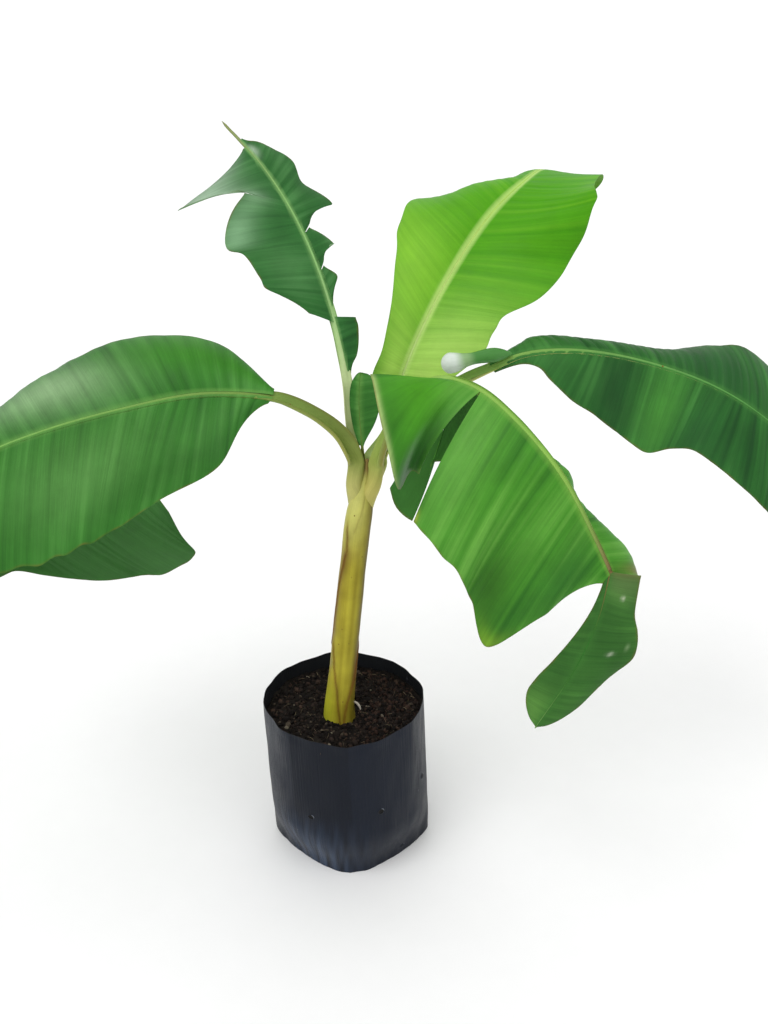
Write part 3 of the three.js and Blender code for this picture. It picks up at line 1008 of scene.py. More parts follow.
    def _surface(self, sheet: Sequence[Lobe], u: Array, v: Array) -> tuple[Array, Array, Array]:
        """Bends a sheet out from the midrib.

        Args:
            sheet: Its lobes.
            u: The rows' shares of the midrib.
            v: Shares of the way out to the margin.

        Returns:
            The points in mm, and each row's half width from the line and from its seat on the limb.
        """
        place = self.start + (self.end - self.start) * u
        along, up, out = (axis[:, None] for axis in self.axes(place))
        out = out * int(sheet[0].side)
        inner = (self.radius(place) * self.SEAT)[:, None]
        reach = self._reach(sheet, u, place * self.line.length)[:, None]
        reach = np.maximum(reach, inner + self.LEAST_WIDTH)
        width = reach - inner
        rise = np.radians(self._profile(sheet, u, "rise"))[:, None]
        turn = np.radians(self._profile(sheet, u, "hang"))[:, None] - rise
        turn = np.where(np.abs(turn) < self.LEAST_TURN, self.LEAST_TURN, turn)
        angle = rise + turn * v
        sideways = inner * np.cos(rise) + width * (np.sin(angle) - np.sin(rise)) / turn
        upwards = inner * np.sin(rise) + width * (np.cos(rise) - np.cos(angle)) / turn
        forward = reach * v * self._profile(sheet, u, "sweep")[:, None]
        points = (self.line.at(place)[:, None] + sideways[..., None] * out + upwards[..., None] * up
                  + forward[..., None] * along)
        return points, reach, width

    def _add_sheet(self, body: Body, names: Sequence[str], index: int) -> None:
        """Adds one untorn stretch of blade, as a thin closed shell, to the blade's mesh.

        Args:
            body: The mesh.
            names: The stretch's lobes.
            index: Its number.
        """
        sheet = [self.plan.lobes[name] for name in names]
        side = sheet[0].side
        span = (sheet[0].span[0], sheet[-1].span[1])
        length = (span[1] - span[0]) * (self.end - self.start) * self.line.length
        widest = max(max(lobe.width) for lobe in sheet)
        u = np.linspace(*span, max(self.LEAST_ROWS, round(length / self.ROW_STEP)))
        v = np.linspace(0, 1, max(self.LEAST_COLUMNS, round(widest / self.COLUMN_STEP)))[None]
        run = ((self.start + (self.end - self.start) * u) * self.line.length)[:, None]
        surface, reach, width = self._surface(sheet, u, v)
        square = unit(np.cross(np.gradient(surface, axis=1), np.gradient(surface, axis=0)) * int(side))
        height, furrow = self._height(run, v, side)
        taper = np.minimum(1, width / self.FLAT_WIDTH)
        surface = surface + square * (height * taper)[..., None]
        half = self.THICKNESS / 2 * (1 - 0.5 * ease(0.9, 1, v))[..., None]
        upper, under = self._shades(u[:, None], run, v, reach, furrow, side)
        trace = vectors(run, v * reach, self.SHEET_OFFSET * index)
        top = body.points(surface + square * half, upper, trace)
        bottom = body.points(surface - square * half, under, trace)
        body.shell(top, bottom, (0, 1), side is Side.LEFT)

    def blade(self) -> bpy.types.Object:
        """Builds and places the blade.

        Returns:
            The piece.
        """
        body = Body(f"leaf_{self.plan.name}_blade")
        for index, names in enumerate(self.plan.sheets):
            self._add_sheet(body, names, index)
        piece = body.make([self.plan.upper.material(), UNDER.material()])
        settle(piece, [f"blade_{self.plan.name}_{name}" for name in self.plan.lobes])
        return piece

    def _section(self, groove: Array, bladed: Array) -> tuple[Array, Array, Array]:
        """The limb's section in units of its radius: a round back under a channel of a given depth.

        Args:
            groove: How much of a channel each ring has, from 0 for a round top to 1.
            bladed: How far each ring is the midrib of a blade, which lies over its shoulders.

        Returns:
            For each ring and point, its place out to the right and up, and how near it is to a lip.
        """
        half = self.LIMB_SIDES // 2
        under = np.linspace(math.pi, 2 * math.pi, half, endpoint=False)
        across = np.linspace(1, -1, half, endpoint=False)
        channel = self.CHANNEL_FLOOR + 0.95 * np.abs(across) ** 2.2
        g = groove[:, None]
        top = (1 - g) * np.sqrt(np.maximum(0, 1 - across ** 2)) + g * channel
        crest = self.CREST * np.exp(-(across / self.CREST_WIDTH) ** 2)
        low = crest - 0.06 - 0.12 * np.abs(across) - 0.3 * across ** 2
        top = top + bladed[:, None] * (low - top)
        right = np.broadcast_to(np.r_[np.cos(under), across], (len(groove), 2 * half))
        upward = np.concatenate([np.broadcast_to(np.sin(under), (len(groove), half)), top], 1)
        lip = np.r_[np.zeros(half), ease(0.75, 0.97, np.abs(across))]
        return right, upward, np.broadcast_to(lip, right.shape) * g * (1 - bladed[:, None])

    def _limb_colours(self, place: Array, lip: Array) -> Array:
        """Paints the limb: its back, its channel with the lips, and the tint at its root.

        Args:
            place: The rings' shares of the line.
            lip: How near each point is to a lip.

        Returns:
            The colour of each point.
        """
        coat = self.plan.stalk_paint
        in_channel = np.broadcast_to(np.arange(self.LIMB_SIDES) >= self.LIMB_SIDES // 2, lip.shape)
        back = np.broadcast_to(spread(coat.back, place)[:, None], lip.shape + (3,))
        colours = blend(back, spread(coat.channel, place)[:, None], 1.0 * in_channel)
        amount = lip * spread(coat.lip_amount, place)[:, None]
        colours = blend(colours, coat.lip, np.clip(amount, 0, 1))
        low = ease(self.ROOT_TINT, 0, self.line.at(place)[:, 2] - self.ROOT_LEVEL) * ease(0.35, 0.25, place)
        low = low[:, None] * (self.plan.root != ())
        return blend(colours, coat.root, np.broadcast_to(low, lip.shape))

    def limb(self) -> bpy.types.Object:
        """Builds and places the stalk with the midrib, as one tapering channelled limb.

        Returns:
            The piece.
        """
        plan = self.plan
        place = np.linspace(0, 1, round(self.line.length / self.LIMB_STEP))
        _, up, out = self.axes(place)
        bladed = ease(self.start - 0.03, self.start + 0.05, place)
        free = ease(0.7 * self.fork, 1.5 * self.fork + 0.02, place)
        right, upward, lip = self._section(spread(plan.groove, place) * free, bladed)
        radius = (self.radius(place) * ease(1.004, 0.985, place))[:, None]
        wander = Ripple(plan.seed + 5)(place * self.line.length / self.LIMB_SWELL)[:, None]
        radius = radius * (1 + self.LIMB_WANDER * wander)
        rings = hoops(self.line.at(place), out, up, radius * right, radius * upward)
        turn = np.arange(self.LIMB_SIDES) * 2 * math.pi / self.LIMB_SIDES
        trace = vectors(turn * 5, place[:, None] * self.line.length)
        body = Body(f"leaf_{plan.name}_stalk")
        body.tube(rings, self._limb_colours(place, lip), trace, 0, flip=True)
        piece = body.make([STALK.material()])
        settle(piece, [f"midrib_{plan.name}{part}" for part in plan.midribs])
        return piece


@dataclass
class RolledBase:
    """The pale waxy roll at the base of the right leaf's blade, with its line and radii in mm. Its pale colour
    is partly a painted highlight, and its far side carries painted shade.
    """

    path: tuple[Point, ...] = ((101, -4, 625), (113, -4, 625.5), (128, -2, 628), (150, 3, 631),
                               (176, 7, 632))
    radii: tuple[float, ...] = (11, 11.2, 10, 7.6, 6.4, 6.8, 7.6, 7.6, 5.5, 2)
    bluntness: float = 11.0
    crease_at: float = 4.4
    crease_width: float = 0.25
    crease_depth: float = 0.05
    # pale is partly a painted highlight; below is painted shade on the far side, turned from the light.
    pale: Colour = paint(214, 224, 214)
    below: Colour = paint(176, 196, 158)
    grey_green: Colour = paint(132, 168, 112)
    green: Colour = paint(66, 130, 52)
    sides: int = 40
    rows: int = 60

    def build(self) -> bpy.types.Object:
        """Builds the roll and places it beside the stalk.

        Returns:
            The piece.
        """
        line = CentreLine(self.path)
        place = np.linspace(0, 1, self.rows) ** 1.6
        along = line.along(place)
        across = unit(np.cross(along, np.broadcast_to((0.0, 1.0, 0.0), along.shape)))
        deep = np.cross(along, across)
        turn = np.linspace(0, 2 * math.pi, self.sides, endpoint=False)[None]
        share = np.broadcast_to(place[:, None], (self.rows, self.sides))
        fold = np.exp(-((turn - self.crease_at) / self.crease_width) ** 2)
        crease = 1 - self.crease_depth * fold * ease(0.05, 0.5, place)[:, None]
        near = np.clip(place * line.length / self.bluntness, 0, 1)
        blunt = np.sqrt(np.maximum(1 - (1 - near) ** 2, 0.004))
        radius = (spread(self.radii, place) * blunt)[:, None] * crease
        rings = hoops(line.at(place), across, deep, radius * np.cos(turn), radius * np.sin(turn))
        # Painted shade on the roll's far side, turned from the light.
        shaded = 0.7 * ease(-0.1, -0.9, np.sin(turn))
        colours = blend(np.broadcast_to(self.pale, rings.shape), self.below, shaded)
        colours = blend(colours, self.grey_green, ease(0.16, 0.34, share))
        colours = blend(colours, self.green, ease(0.34, 0.5, share))
        body = Body("leaf_right_rolled_base")
        body.tube(rings, colours, vectors(turn * 6, share * 70), 0)
        piece = body.make([WAX.material()])
        settle(piece)
        return piece


FORK = 503.3

LEFT_LEAF = LeafPlan(
    name="left",
    slot="blade_old",
    seed=101,
    root=((10, 3, 462), (8, -1, 484)),
    stalk=((10, -1, FORK), (10, -1, 512), (-4, -1, 541), (-26, -1, 562), (-58, 0, 580)),
    rib=((-78, 0, 587), (-155, -5, 592), (-240, -15, 578), (-325, -25, 556), (-385, -30, 532),
         (-435, -25, 490), (-450, 5, 435), (-425, 45, 400), (-360, 85, 388), (-300, 118, 393),
         (-240, 145, 402)),
    radii=(9.5, 7, 5.5, 4.6, 4, 3.4, 3, 2.6, 2.2, 1.8, 1.4),
    face=((0, -0.45, 0.9), (0, -0.7, 0.7), (-0.2, -0.7, 0.7), (-0.9, -0.4, 0.1), (0.2, 0.5, -0.8),
          (0.2, 0.6, -0.8)),
    lobes={
        "back": Lobe(Side.RIGHT, (0, 0.418), (8, 74, 100, 108, 111, 113, 114), (35, 20, 5, -5),
                     (-20, -40, -60, -70), (0, 0.3, 0.35, 0.35)),
        "front": Lobe(Side.LEFT, (0, 0.418), (8, 80, 111, 126, 134, 134, 124), (-15, -10), (-30, -35, -35),
                      (0.4, 0.05, 0.45, 0.45, 0.4, 0.4, 0.5)),
        "bend_back": Lobe(Side.RIGHT, (0.422, 0.678), (116, 110, 100, 90), (-5, 0, 0), (-70, -40, -20),
                          (0.35, 0.1, 0.1, 0.3)),
        "bend_front": Lobe(Side.LEFT, (0.422, 0.678), (124, 110, 86, 54), (-10, 0, 0), (-35, -30, -20),
                           (0.5, 0.4, 0.4, 0.6)),
        "tip_back": Lobe(Side.RIGHT, (0.682, 0.995), (90, 82, 70, 50, 35), (0,), (-20,), (0.3,), 0.3),
        "tip_front": Lobe(Side.LEFT, (0.682, 0.995), (54, 92, 117, 138, 113, 92), (0,), (-20,),
                          (0.6, 0.55, 0.5, 0.35, 0.5, 0.2), 0.2),
    },
    sheets=(("back", "bend_back", "tip_back"), ("front", "bend_front", "tip_front")),
    midribs=("", "_bend", "_tip"),
    relief=Relief(pitch=14, pleat=1.1, billow=3.5),
    palette=Palette(paint(38, 98, 28), paint(56, 124, 42), paint(84, 152, 66), paint(84, 142, 74),
                    paint(130, 184, 90)),
    stalk_paint=StalkPaint(
        back=paints((190, 182, 92), (124, 160, 78), (116, 160, 76), (112, 158, 74), (108, 150, 70)),
        channel=paints((150, 160, 80), (128, 166, 80), (136, 190, 96), (130, 185, 90), (150, 200, 110))),
    patches=(
        # Painted highlight: a whitish glare on the back lobe's upper face.
        Patch(Side.RIGHT, (0.30, 0.45), (0.10, 0.30), paint(176, 210, 160), 0.65),
        Patch(Side.RIGHT, (0.10, 0.6), (0.10, 0.35), paint(58, 134, 24), 0.7),
        Patch(Side.LEFT, (0.28, 0.45), (0.12, 0.35), paint(104, 160, 84), 0.6),
        Patch(Side.LEFT, (0.12, 0.75), (0.08, 0.30), paint(40, 94, 30), 0.5),
    ),
)

BACK_LEFT_LEAF = LeafPlan(
    name="back_left",
    slot="blade_deep",
    seed=211,
    root=((12, 6, 460), (10, 11, 484)),
    stalk=((7, 15, FORK), (7, 15, 515), (4, 14, 560)),
    rib=((1, 14, 601), (-13, 30, 664), (-32, 45, 721), (-58, 65, 773), (-88, 85, 814), (-114, 100, 840)),
    spike=((-124, 106, 849), (-131, 110, 856)),
    radii=(7, 6, 5.6, 5, 4.2, 3.4, 2.8, 2.2, 1.4),
    face=((0.2, -1, 0.2), (0.2, -1, 0.2), (0.2, -1, 0.3), (0.3, -1, 0.3)),
    lobes={
        "left": Lobe(Side.LEFT, (0.22, 0.69), (26, 60, 64, 68, 82, 37), (30, 18), (0, -5, 10),
                     (0.6, 0.4, 0.25, 0.25, 0.15, 0.75)),
        "left_tip": Lobe(Side.LEFT, (0.6905, 0.95), (37, 58, 100, 90, 40, 4), (18, 10), (10, -20, -40),
                         (0.75, 0.45, 0.25, 0.2, 0.25, 0.3)),
        "right_base": Lobe(Side.RIGHT, (0, 0.24), (6, 17, 26, 26), (-10,), (-30,), (0.9, 0, 0.2, -0.25)),
        "right_low": Lobe(Side.RIGHT, (0.27, 0.41), (6, 23, 10), (-20,), (-50,), (1.2, 0.5, 0.6)),
        "right_middle": Lobe(Side.RIGHT, (0.4105, 0.56), (14, 38, 12), (-20,), (-50,), (0.9, 0.1, 0.5)),
        "right_top": Lobe(Side.RIGHT, (0.5605, 0.985), (16, 60, 38, 42, 30, 18, 4), (-20,), (-50,),
                          (0.65, 0.05, 0.35, 0.45, 0.6, 0.6, 0.4)),
    },
    sheets=(("left",), ("left_tip",), ("right_base",), ("right_low",), ("right_middle",), ("right_top",)),
    relief=Relief(pitch=11, pleat=0.8, billow=2.0, frill=1.0),
    palette=Palette(paint(34, 88, 38), paint(50, 112, 50), paint(80, 140, 76), paint(150, 186, 142),
                    paint(150, 202, 120), rib_band=3.5, rib_amount=0.55),
    stalk_paint=StalkPaint(
        back=paints((196, 200, 120), (206, 222, 148), (176, 210, 140), (140, 190, 112), (150, 140, 90)),
        channel=paints((190, 200, 120), (214, 228, 166), (166, 210, 136), (150, 202, 120), (160, 170, 110))),
    groove=(0.8, 0.8, 0.5, 0.3, 0.1),
    patches=(
        Patch(Side.LEFT, (0.80, 0.75), (0.10, 0.35), paint(205, 232, 204), 0.75),
        Patch(Side.LEFT, (0.60, 0.85), (0.05, 0.25), paint(150, 196, 150), 0.7),
        # Painted highlight: a whitish spot by the midrib near the top.
        Patch(Side.RIGHT, (0.92, 0.2), (0.03, 0.3), paint(200, 224, 196), 0.7),
        Patch(Side.LEFT, (0.45, 0.5), (0.10, 0.4), paint(96, 152, 90), 0.4),
    ),
)

BACK_RIGHT_LEAF = LeafPlan(
    name="back_right",
    slot="blade_young",
    seed=307,
    root=((18, 6, 460), (21, 10, 484)),
    stalk=((22, 15, FORK), (22, 15, 510)),
    rib=((43, 34, 534), (59, 55, 583), (75, 65, 624), (114, 90, 697), (158, 120, 756), (200, 150, 790),
         (224, 190, 795), (238, 228, 770), (243, 258, 725), (240, 278, 675)),
    radii=(4.4, 4.6, 5.4, 5, 4.4, 3.8, 3.2, 2.6, 2, 1.4),
    face=((-0.3, -1, 0.3), (-0.2, -1, 0.5), (-0.1, -0.9, 0.6), (0.2, 0.3, 0.9), (0.3, 0.9, 0.3)),
    lobes={
        "left": Lobe(Side.LEFT, (0.04, 0.318), (16, 33, 32, 44, 65, 88), (40, 30, 20), (0, 0, -10, -40),
                     (-0.2, 0, 0.2, 0.55, 0.65, 0.45)),
        "left_top": Lobe(Side.LEFT, (0.322, 0.618), (88, 109, 117, 112), (20, 17, 8, -9),
                         (-40, -70, -133, -185), (0.45, 0.2, 0.3)),
        "left_fold": Lobe(Side.LEFT, (0.622, 0.985), (112, 106, 90, 60), (-10, 0, 0), (-185, -110, -40),
                          (0.3,), 0.4),
        "right": Lobe(Side.RIGHT, (0.04, 0.398), (14, 36, 74, 77, 80, 106, 109), (20,), (-5,),
                      (0.5, 0.1, 0.4, 0.4, 0.3, 0.3, 0.4)),
        "right_top": Lobe(Side.RIGHT, (0.402, 0.618), (109, 115, 106, 86), (20,), (0, 40, 46, 26),
                          (0.45, 0.5, 0.42, 0.15)),
        "right_fold": Lobe(Side.RIGHT, (0.622, 0.985), (86, 46, 36, 28), (20, 0, -15, -30),
                           (26, -90, -120, -130), (0.15, 0.3), 0.4),
    },
    sheets=(("left", "left_top", "left_fold"), ("right", "right_top", "right_fold")),
    midribs=("", "_fold"),
    relief=Relief(pitch=12, pleat=0.6, billow=2.0, frill=0.8),
    palette=Palette(paint(62, 146, 6), paint(80, 162, 12), paint(112, 184, 34), paint(120, 178, 64),
                    paint(194, 230, 126), margin=paint(90, 130, 50), margin_amount=0.5, stripe=0.3,
                    rib_band=6.0, rib_amount=0.9),
    stalk_paint=StalkPaint(
        back=paints((216, 232, 140), (212, 236, 146), (170, 214, 84), (150, 205, 60), (140, 190, 60)),
        channel=paints((206, 234, 150), (208, 238, 146), (196, 230, 120), (170, 218, 84), (140, 190, 60)),
        lip=paint(150, 200, 70)),
    groove=(0.9, 0.9, 0.8, 0.6, 0.3),
    patches=(
        Patch(Side.LEFT, (0.10, 0.4), (0.12, 1.0), paint(184, 226, 104), 0.9),
        Patch(Side.LEFT, (0.06, 0.95), (0.10, 0.3), paint(84, 158, 24), 0.8),
        Patch(Side.LEFT, (0.30, 0.5), (0.12, 0.8), paint(146, 208, 60), 0.75),
        Patch(Side.RIGHT, (0.12, 0.5), (0.15, 1.2), paint(192, 236, 112), 1.0),
    ),
    upper=YOUNG,
)

RIGHT_LEAF = LeafPlan(
    name="right",
    slot="blade_deep",
    seed=401,
    root=((22, 4, 460), (31, 9, 484)),
    stalk=((38, 13, FORK), (38, 13, 512), (60, 10, 552), (90, 8, 580), (117, 8, 598)),
    rib=((152, 8, 616), (187, 10, 631), (238, 20, 633), (312, 30, 620), (405, 40, 586), (474, 42, 543),
         (528, 42, 490), (563, 38, 430)),
    radii=(6.5, 6.5, 6.2, 5.2, 4.4, 3.8, 3.2, 2.6, 2, 1.4),
    face=((0, -0.5, 0.8), (0, -0.5, 0.8), (0.2, -0.5, 0.8)),
    lobes={
        "back": Lobe(Side.LEFT, (0.005, 0.985), (8, 38, 43, 58, 85, 97, 87, 60), (10,),
                     (-45, -65, -85, -75, -45, -30, -40, -40),
                     (0.5, -0.3, -0.55, -0.2, -0.1, -0.3, 0.2, 0.2), 0.3),
        "front": Lobe(Side.RIGHT, (0.005, 0.985), (8, 20, 70, 100, 80, 84, 80, 60), (-20,),
                      (-30, -25, -25, -40), (0.3, -0.8, -0.25, -0.15, -0.15, 0.5, 0.2, 0.2), 0.3),
    },
    sheets=(("back",), ("front",)),
    relief=Relief(pitch=12, pleat=1.2, billow=3.0),
    palette=Palette(paint(26, 76, 30), paint(44, 106, 42), paint(76, 146, 66), paint(84, 130, 78),
                    paint(84, 150, 66)),
    stalk_paint=StalkPaint(
        back=paints((206, 200, 110), (214, 216, 116), (196, 204, 130), (120, 172, 86), (90, 140, 70)),
        channel=paints((170, 184, 90), (150, 190, 90), (120, 176, 90), (96, 164, 80), (80, 140, 70))),
    groove=(0.9, 0.8, 0.3, 0.3, 0.2),
    patches=(
        Patch(Side.RIGHT, (0.32, 0.5), (0.06, 0.9), paint(24, 72, 30), 0.9),
        Patch(Side.RIGHT, (0.44, 0.5), (0.06, 0.7), paint(78, 152, 56), 0.75),
        Patch(Side.RIGHT, (0.14, 0.4), (0.07, 0.7), paint(72, 138, 64), 0.7),
        Patch(Side.RIGHT, (0.56, 0.7), (0.06, 0.5), paint(34, 88, 40), 0.6),
        Patch(Side.LEFT, (0.55, 0.4), (0.12, 0.5), paint(30, 84, 40), 0.6),
        Patch(Side.LEFT, (0.12, 0.5), (0.08, 0.8), paint(74, 140, 60), 0.5),
    ),
)

FRONT_LEAF = LeafPlan(
    name="front",
    slot="blade_front",
    seed=503,
    root=((16, 3, 438), (24, -2, 470), (30, -5, 488)),
    stalk=((32, -4, FORK), (32, -4, 512), (48, -14, 560), (70, -26, 597)),
    rib=((100, -40, 619), (133, -60, 617), (171, -95, 595), (213, -135, 553), (246, -165, 497),
         (263, -175, 463)),
    radii=(8.6, 7, 6, 5.2, 4.6, 4, 3.4, 3),
    face=((-0.3, -0.4, 0.85), (-0.3, -0.6, 0.75), (-0.5, -0.8, 0.4), (-0.5, -0.8, 0.3)),
    lobes={
        "base": Lobe(Side.RIGHT, (0, 0.168), (92, 120, 144, 116, 112), (53, 40, 20, 10),
                     (51, -18, -53, -72, -64), (-0.3, -0.14, -0.06, -0.18, -0.1)),
        "near": Lobe(Side.RIGHT, (0.172, 0.995), (148, 146, 146, 156, 168, 88, 12), (5,), (-25, -15),
                     (0.2, 0.3, 0.35, 0.35, 0.55, 0.6, 0.55)),
        "far_base": Lobe(Side.LEFT, (0, 0.042), (112, 124, 143, 157, 165), (-105,), (-150,),
                         (-0.75, -0.63, -0.48, -0.34, -0.23)),
        "far_valley": Lobe(Side.LEFT, (0.047, 0.178), (100, 98, 96, 94), (-105,), (-150,), (-0.19, -0.14)),
        "far": Lobe(Side.LEFT, (0.182, 0.999), (75, 72, 68, 66, 60, 50, 62, 66, 50),
                    (-85, -85, -85, -80, -64, -84, -62, -45, -30),
                    (-150, -150, -150, -150, -140, -160, -140, -135),
                    (0, 0, 0, 0, 0.1, 0, 0.2, 0.4, 0.55)),
    },
    sheets=(("base",), ("near",), ("far_base",), ("far_valley",), ("far",)),
    relief=Relief(pitch=13, pleat=0.8, billow=3.0),
    palette=Palette(paint(44, 110, 28), paint(74, 148, 42), paint(110, 178, 70), paint(64, 120, 52),
                    paint(140, 190, 80)),
    stalk_paint=StalkPaint(
        back=paints((186, 174, 84), (176, 168, 80), (160, 164, 78), (140, 170, 84), (140, 180, 86),
                    (140, 190, 90), (140, 190, 90), (130, 170, 80), (140, 112, 74)),
        channel=paints((176, 170, 84), (166, 178, 88), (158, 190, 92), (158, 202, 96), (156, 202, 94),
                       (150, 200, 92), (150, 198, 90), (142, 180, 86), (140, 116, 80)),
        lip=paint(200, 206, 120),
        root=paint(204, 196, 108)),
    patches=(
        Patch(Side.RIGHT, (0.04, 0.45), (0.06, 0.35), paint(80, 168, 14), 0.7),
        Patch(Side.RIGHT, (0.03, 1.0), (0.07, 0.05), paint(196, 220, 140), 0.95),
        Patch(Side.LEFT, (0.975, 0.75), (0.025, 0.5), paint(124, 112, 60), 0.85),
        # Painted shade on the base lobe's outer part, where it runs behind the near lobe.
        Patch(Side.RIGHT, (0.13, 0.75), (0.04, 0.4), paint(34, 92, 44), 0.8),
        Patch(Side.RIGHT, (0.095, 0.95), (0.02, 0.3), paint(36, 96, 36), 0.9),
        Patch(Side.RIGHT, (0.24, 0.45), (0.10, 0.5), paint(112, 178, 76), 0.7),
        Patch(Side.RIGHT, (0.62, 0.80), (0.10, 0.28), paint(46, 98, 22), 0.8),
        Patch(Side.RIGHT, (0.72, 0.98), (0.05, 0.08), paint(140, 186, 48), 0.8),
        Patch(Side.RIGHT, (0.19, 0.97), (0.02, 0.05), paint(190, 206, 80), 0.8),
        Patch(Side.RIGHT, (0.85, 0.5), (0.09, 0.5), paint(40, 98, 38), 0.6),
    ),
)

FRONT_TIP = LeafPlan(
    name="front_tip",
    slot="blade_front",
    seed=601,
    rib=((262, -174, 468), (253, -180, 416), (233, -185, 361), (197, -185, 289)),
    radii=(2.4, 2, 1.6, 1.2),
    face=((-0.5, -0.8, 0.3), (-0.4, -0.9, 0.2), (-0.4, -0.9, 0.2)),
    lobes={
        "near": Lobe(Side.RIGHT, (0.01, 0.985), (4, 12, 23, 30, 28), (0,), (-30,),
                     (0.8, 0.5, 0.45, 0.35, 0.05), 0.22),
        "far": Lobe(Side.LEFT, (0.002, 0.985), (30, 33, 41, 47, 35, 27, 20), (0,), (-40,),
                    (-0.1, 0.12, -0.3, -0.45, -0.5, -0.4, -0.3), 0.2),
    },
    sheets=(("near",), ("far",)),
    relief=Relief(pitch=10, pleat=0.25, billow=2.5, frill=0.6),
    palette=Palette(paint(40, 90, 32), paint(56, 108, 42), paint(80, 140, 58), paint(96, 140, 84),
                    paint(64, 124, 48), stripe=0.2),
    stalk_paint=StalkPaint(back=paints((120, 104, 62), (70, 120, 50), (120, 166, 84)),
                           channel=paints((130, 110, 66), (66, 124, 48), (70, 128, 50), (130, 176, 96))),
    patches=(
        Patch(Side.LEFT, (0.0, 0.6), (0.03, 0.8), paint(126, 110, 66), 0.8),
        Patch(Side.LEFT, (0.05, 0.6), (0.08, 0.8), paint(96, 128, 70), 0.8),
        Patch(Side.LEFT, (0.47, 0.5), (0.012, 0.05), paint(200, 214, 186), 0.85),
        Patch(Side.LEFT, (0.12, 0.55), (0.010, 0.05), paint(200, 210, 180), 0.85),
        Patch(Side.LEFT, (0.43, 0.8), (0.02, 0.03), paint(150, 180, 130), 0.7),
        Patch(Side.RIGHT, (0.9, 0.6), (0.15, 0.6), paint(104, 160, 70), 0.7),
    ),
)

HEART_LEAF = LeafPlan(
    name="heart",
    slot="blade_old",
    seed=701,
    stalk=((18, 8, FORK), (18, 8, 512)),
    rib=((17, 4, 527), (15, 3, 554), (14, 3, 582), (16, 4, 613)),
    radii=(1.8, 1.6, 1.4, 1),
    face=((-0.1, -1, 0.1),),
    lobes={
        "left": Lobe(Side.LEFT, (0.02, 0.99), (4, 8, 10, 10, 7), (10,), (-10,), (0.2,), 0.2),
        "right": Lobe(Side.RIGHT, (0.01, 0.99), (2, 16, 24, 24, 15), (10,), (20,), (0.3,), 0.2),
    },
    sheets=(("left",), ("right",)),
    relief=Relief(pitch=8, pleat=0.3, ribbing=0.05, billow=0.8, frill=0.4),
    palette=Palette(paint(44, 104, 34), paint(60, 126, 46), paint(100, 164, 80), paint(84, 140, 70),
                    paint(120, 170, 80), margin=paint(34, 80, 28)),
    stalk_paint=StalkPaint(back=paints((140, 150, 70), (110, 150, 60)),
                           channel=paints((140, 150, 70), (90, 140, 60))),
)

LEAVES = (LEFT_LEAF, BACK_LEFT_LEAF, BACK_RIGHT_LEAF, RIGHT_LEAF, FRONT_LEAF, FRONT_TIP, HEART_LEAF)


# ---- False stem ------------------------------------------------------------------------------------------


@dataclass(frozen=True)
class Seam:
    """The free edge of a leaf sheath on the false stem, in degrees round it at heights in mm."""

    heights: tuple[float, ...]
    angles: tuple[float, ...]
    step: float = 1.3
    turns_left: bool = True
    stain: float = 0.8
    spread: float = 5.0


@dataclass(frozen=True)
class StemPaint:
    """The colours of the false stem."""

    deep: Colour = paint(140, 128, 34)
    bright: Colour = paint(182, 172, 56)
    upper: Colour = paint(206, 206, 120)
    foot: Colour = paint(178, 178, 46)
    # side is painted shade: the olive of the stem's right and back, turned from the light.
    side: Colour = paint(96, 84, 24)
    rear: Colour = paint(150, 150, 70)
    blotch: Colour = paint(104, 74, 30)
    seam: Colour = paint(98, 56, 18)
    fork: Colour = paint(150, 112, 70)


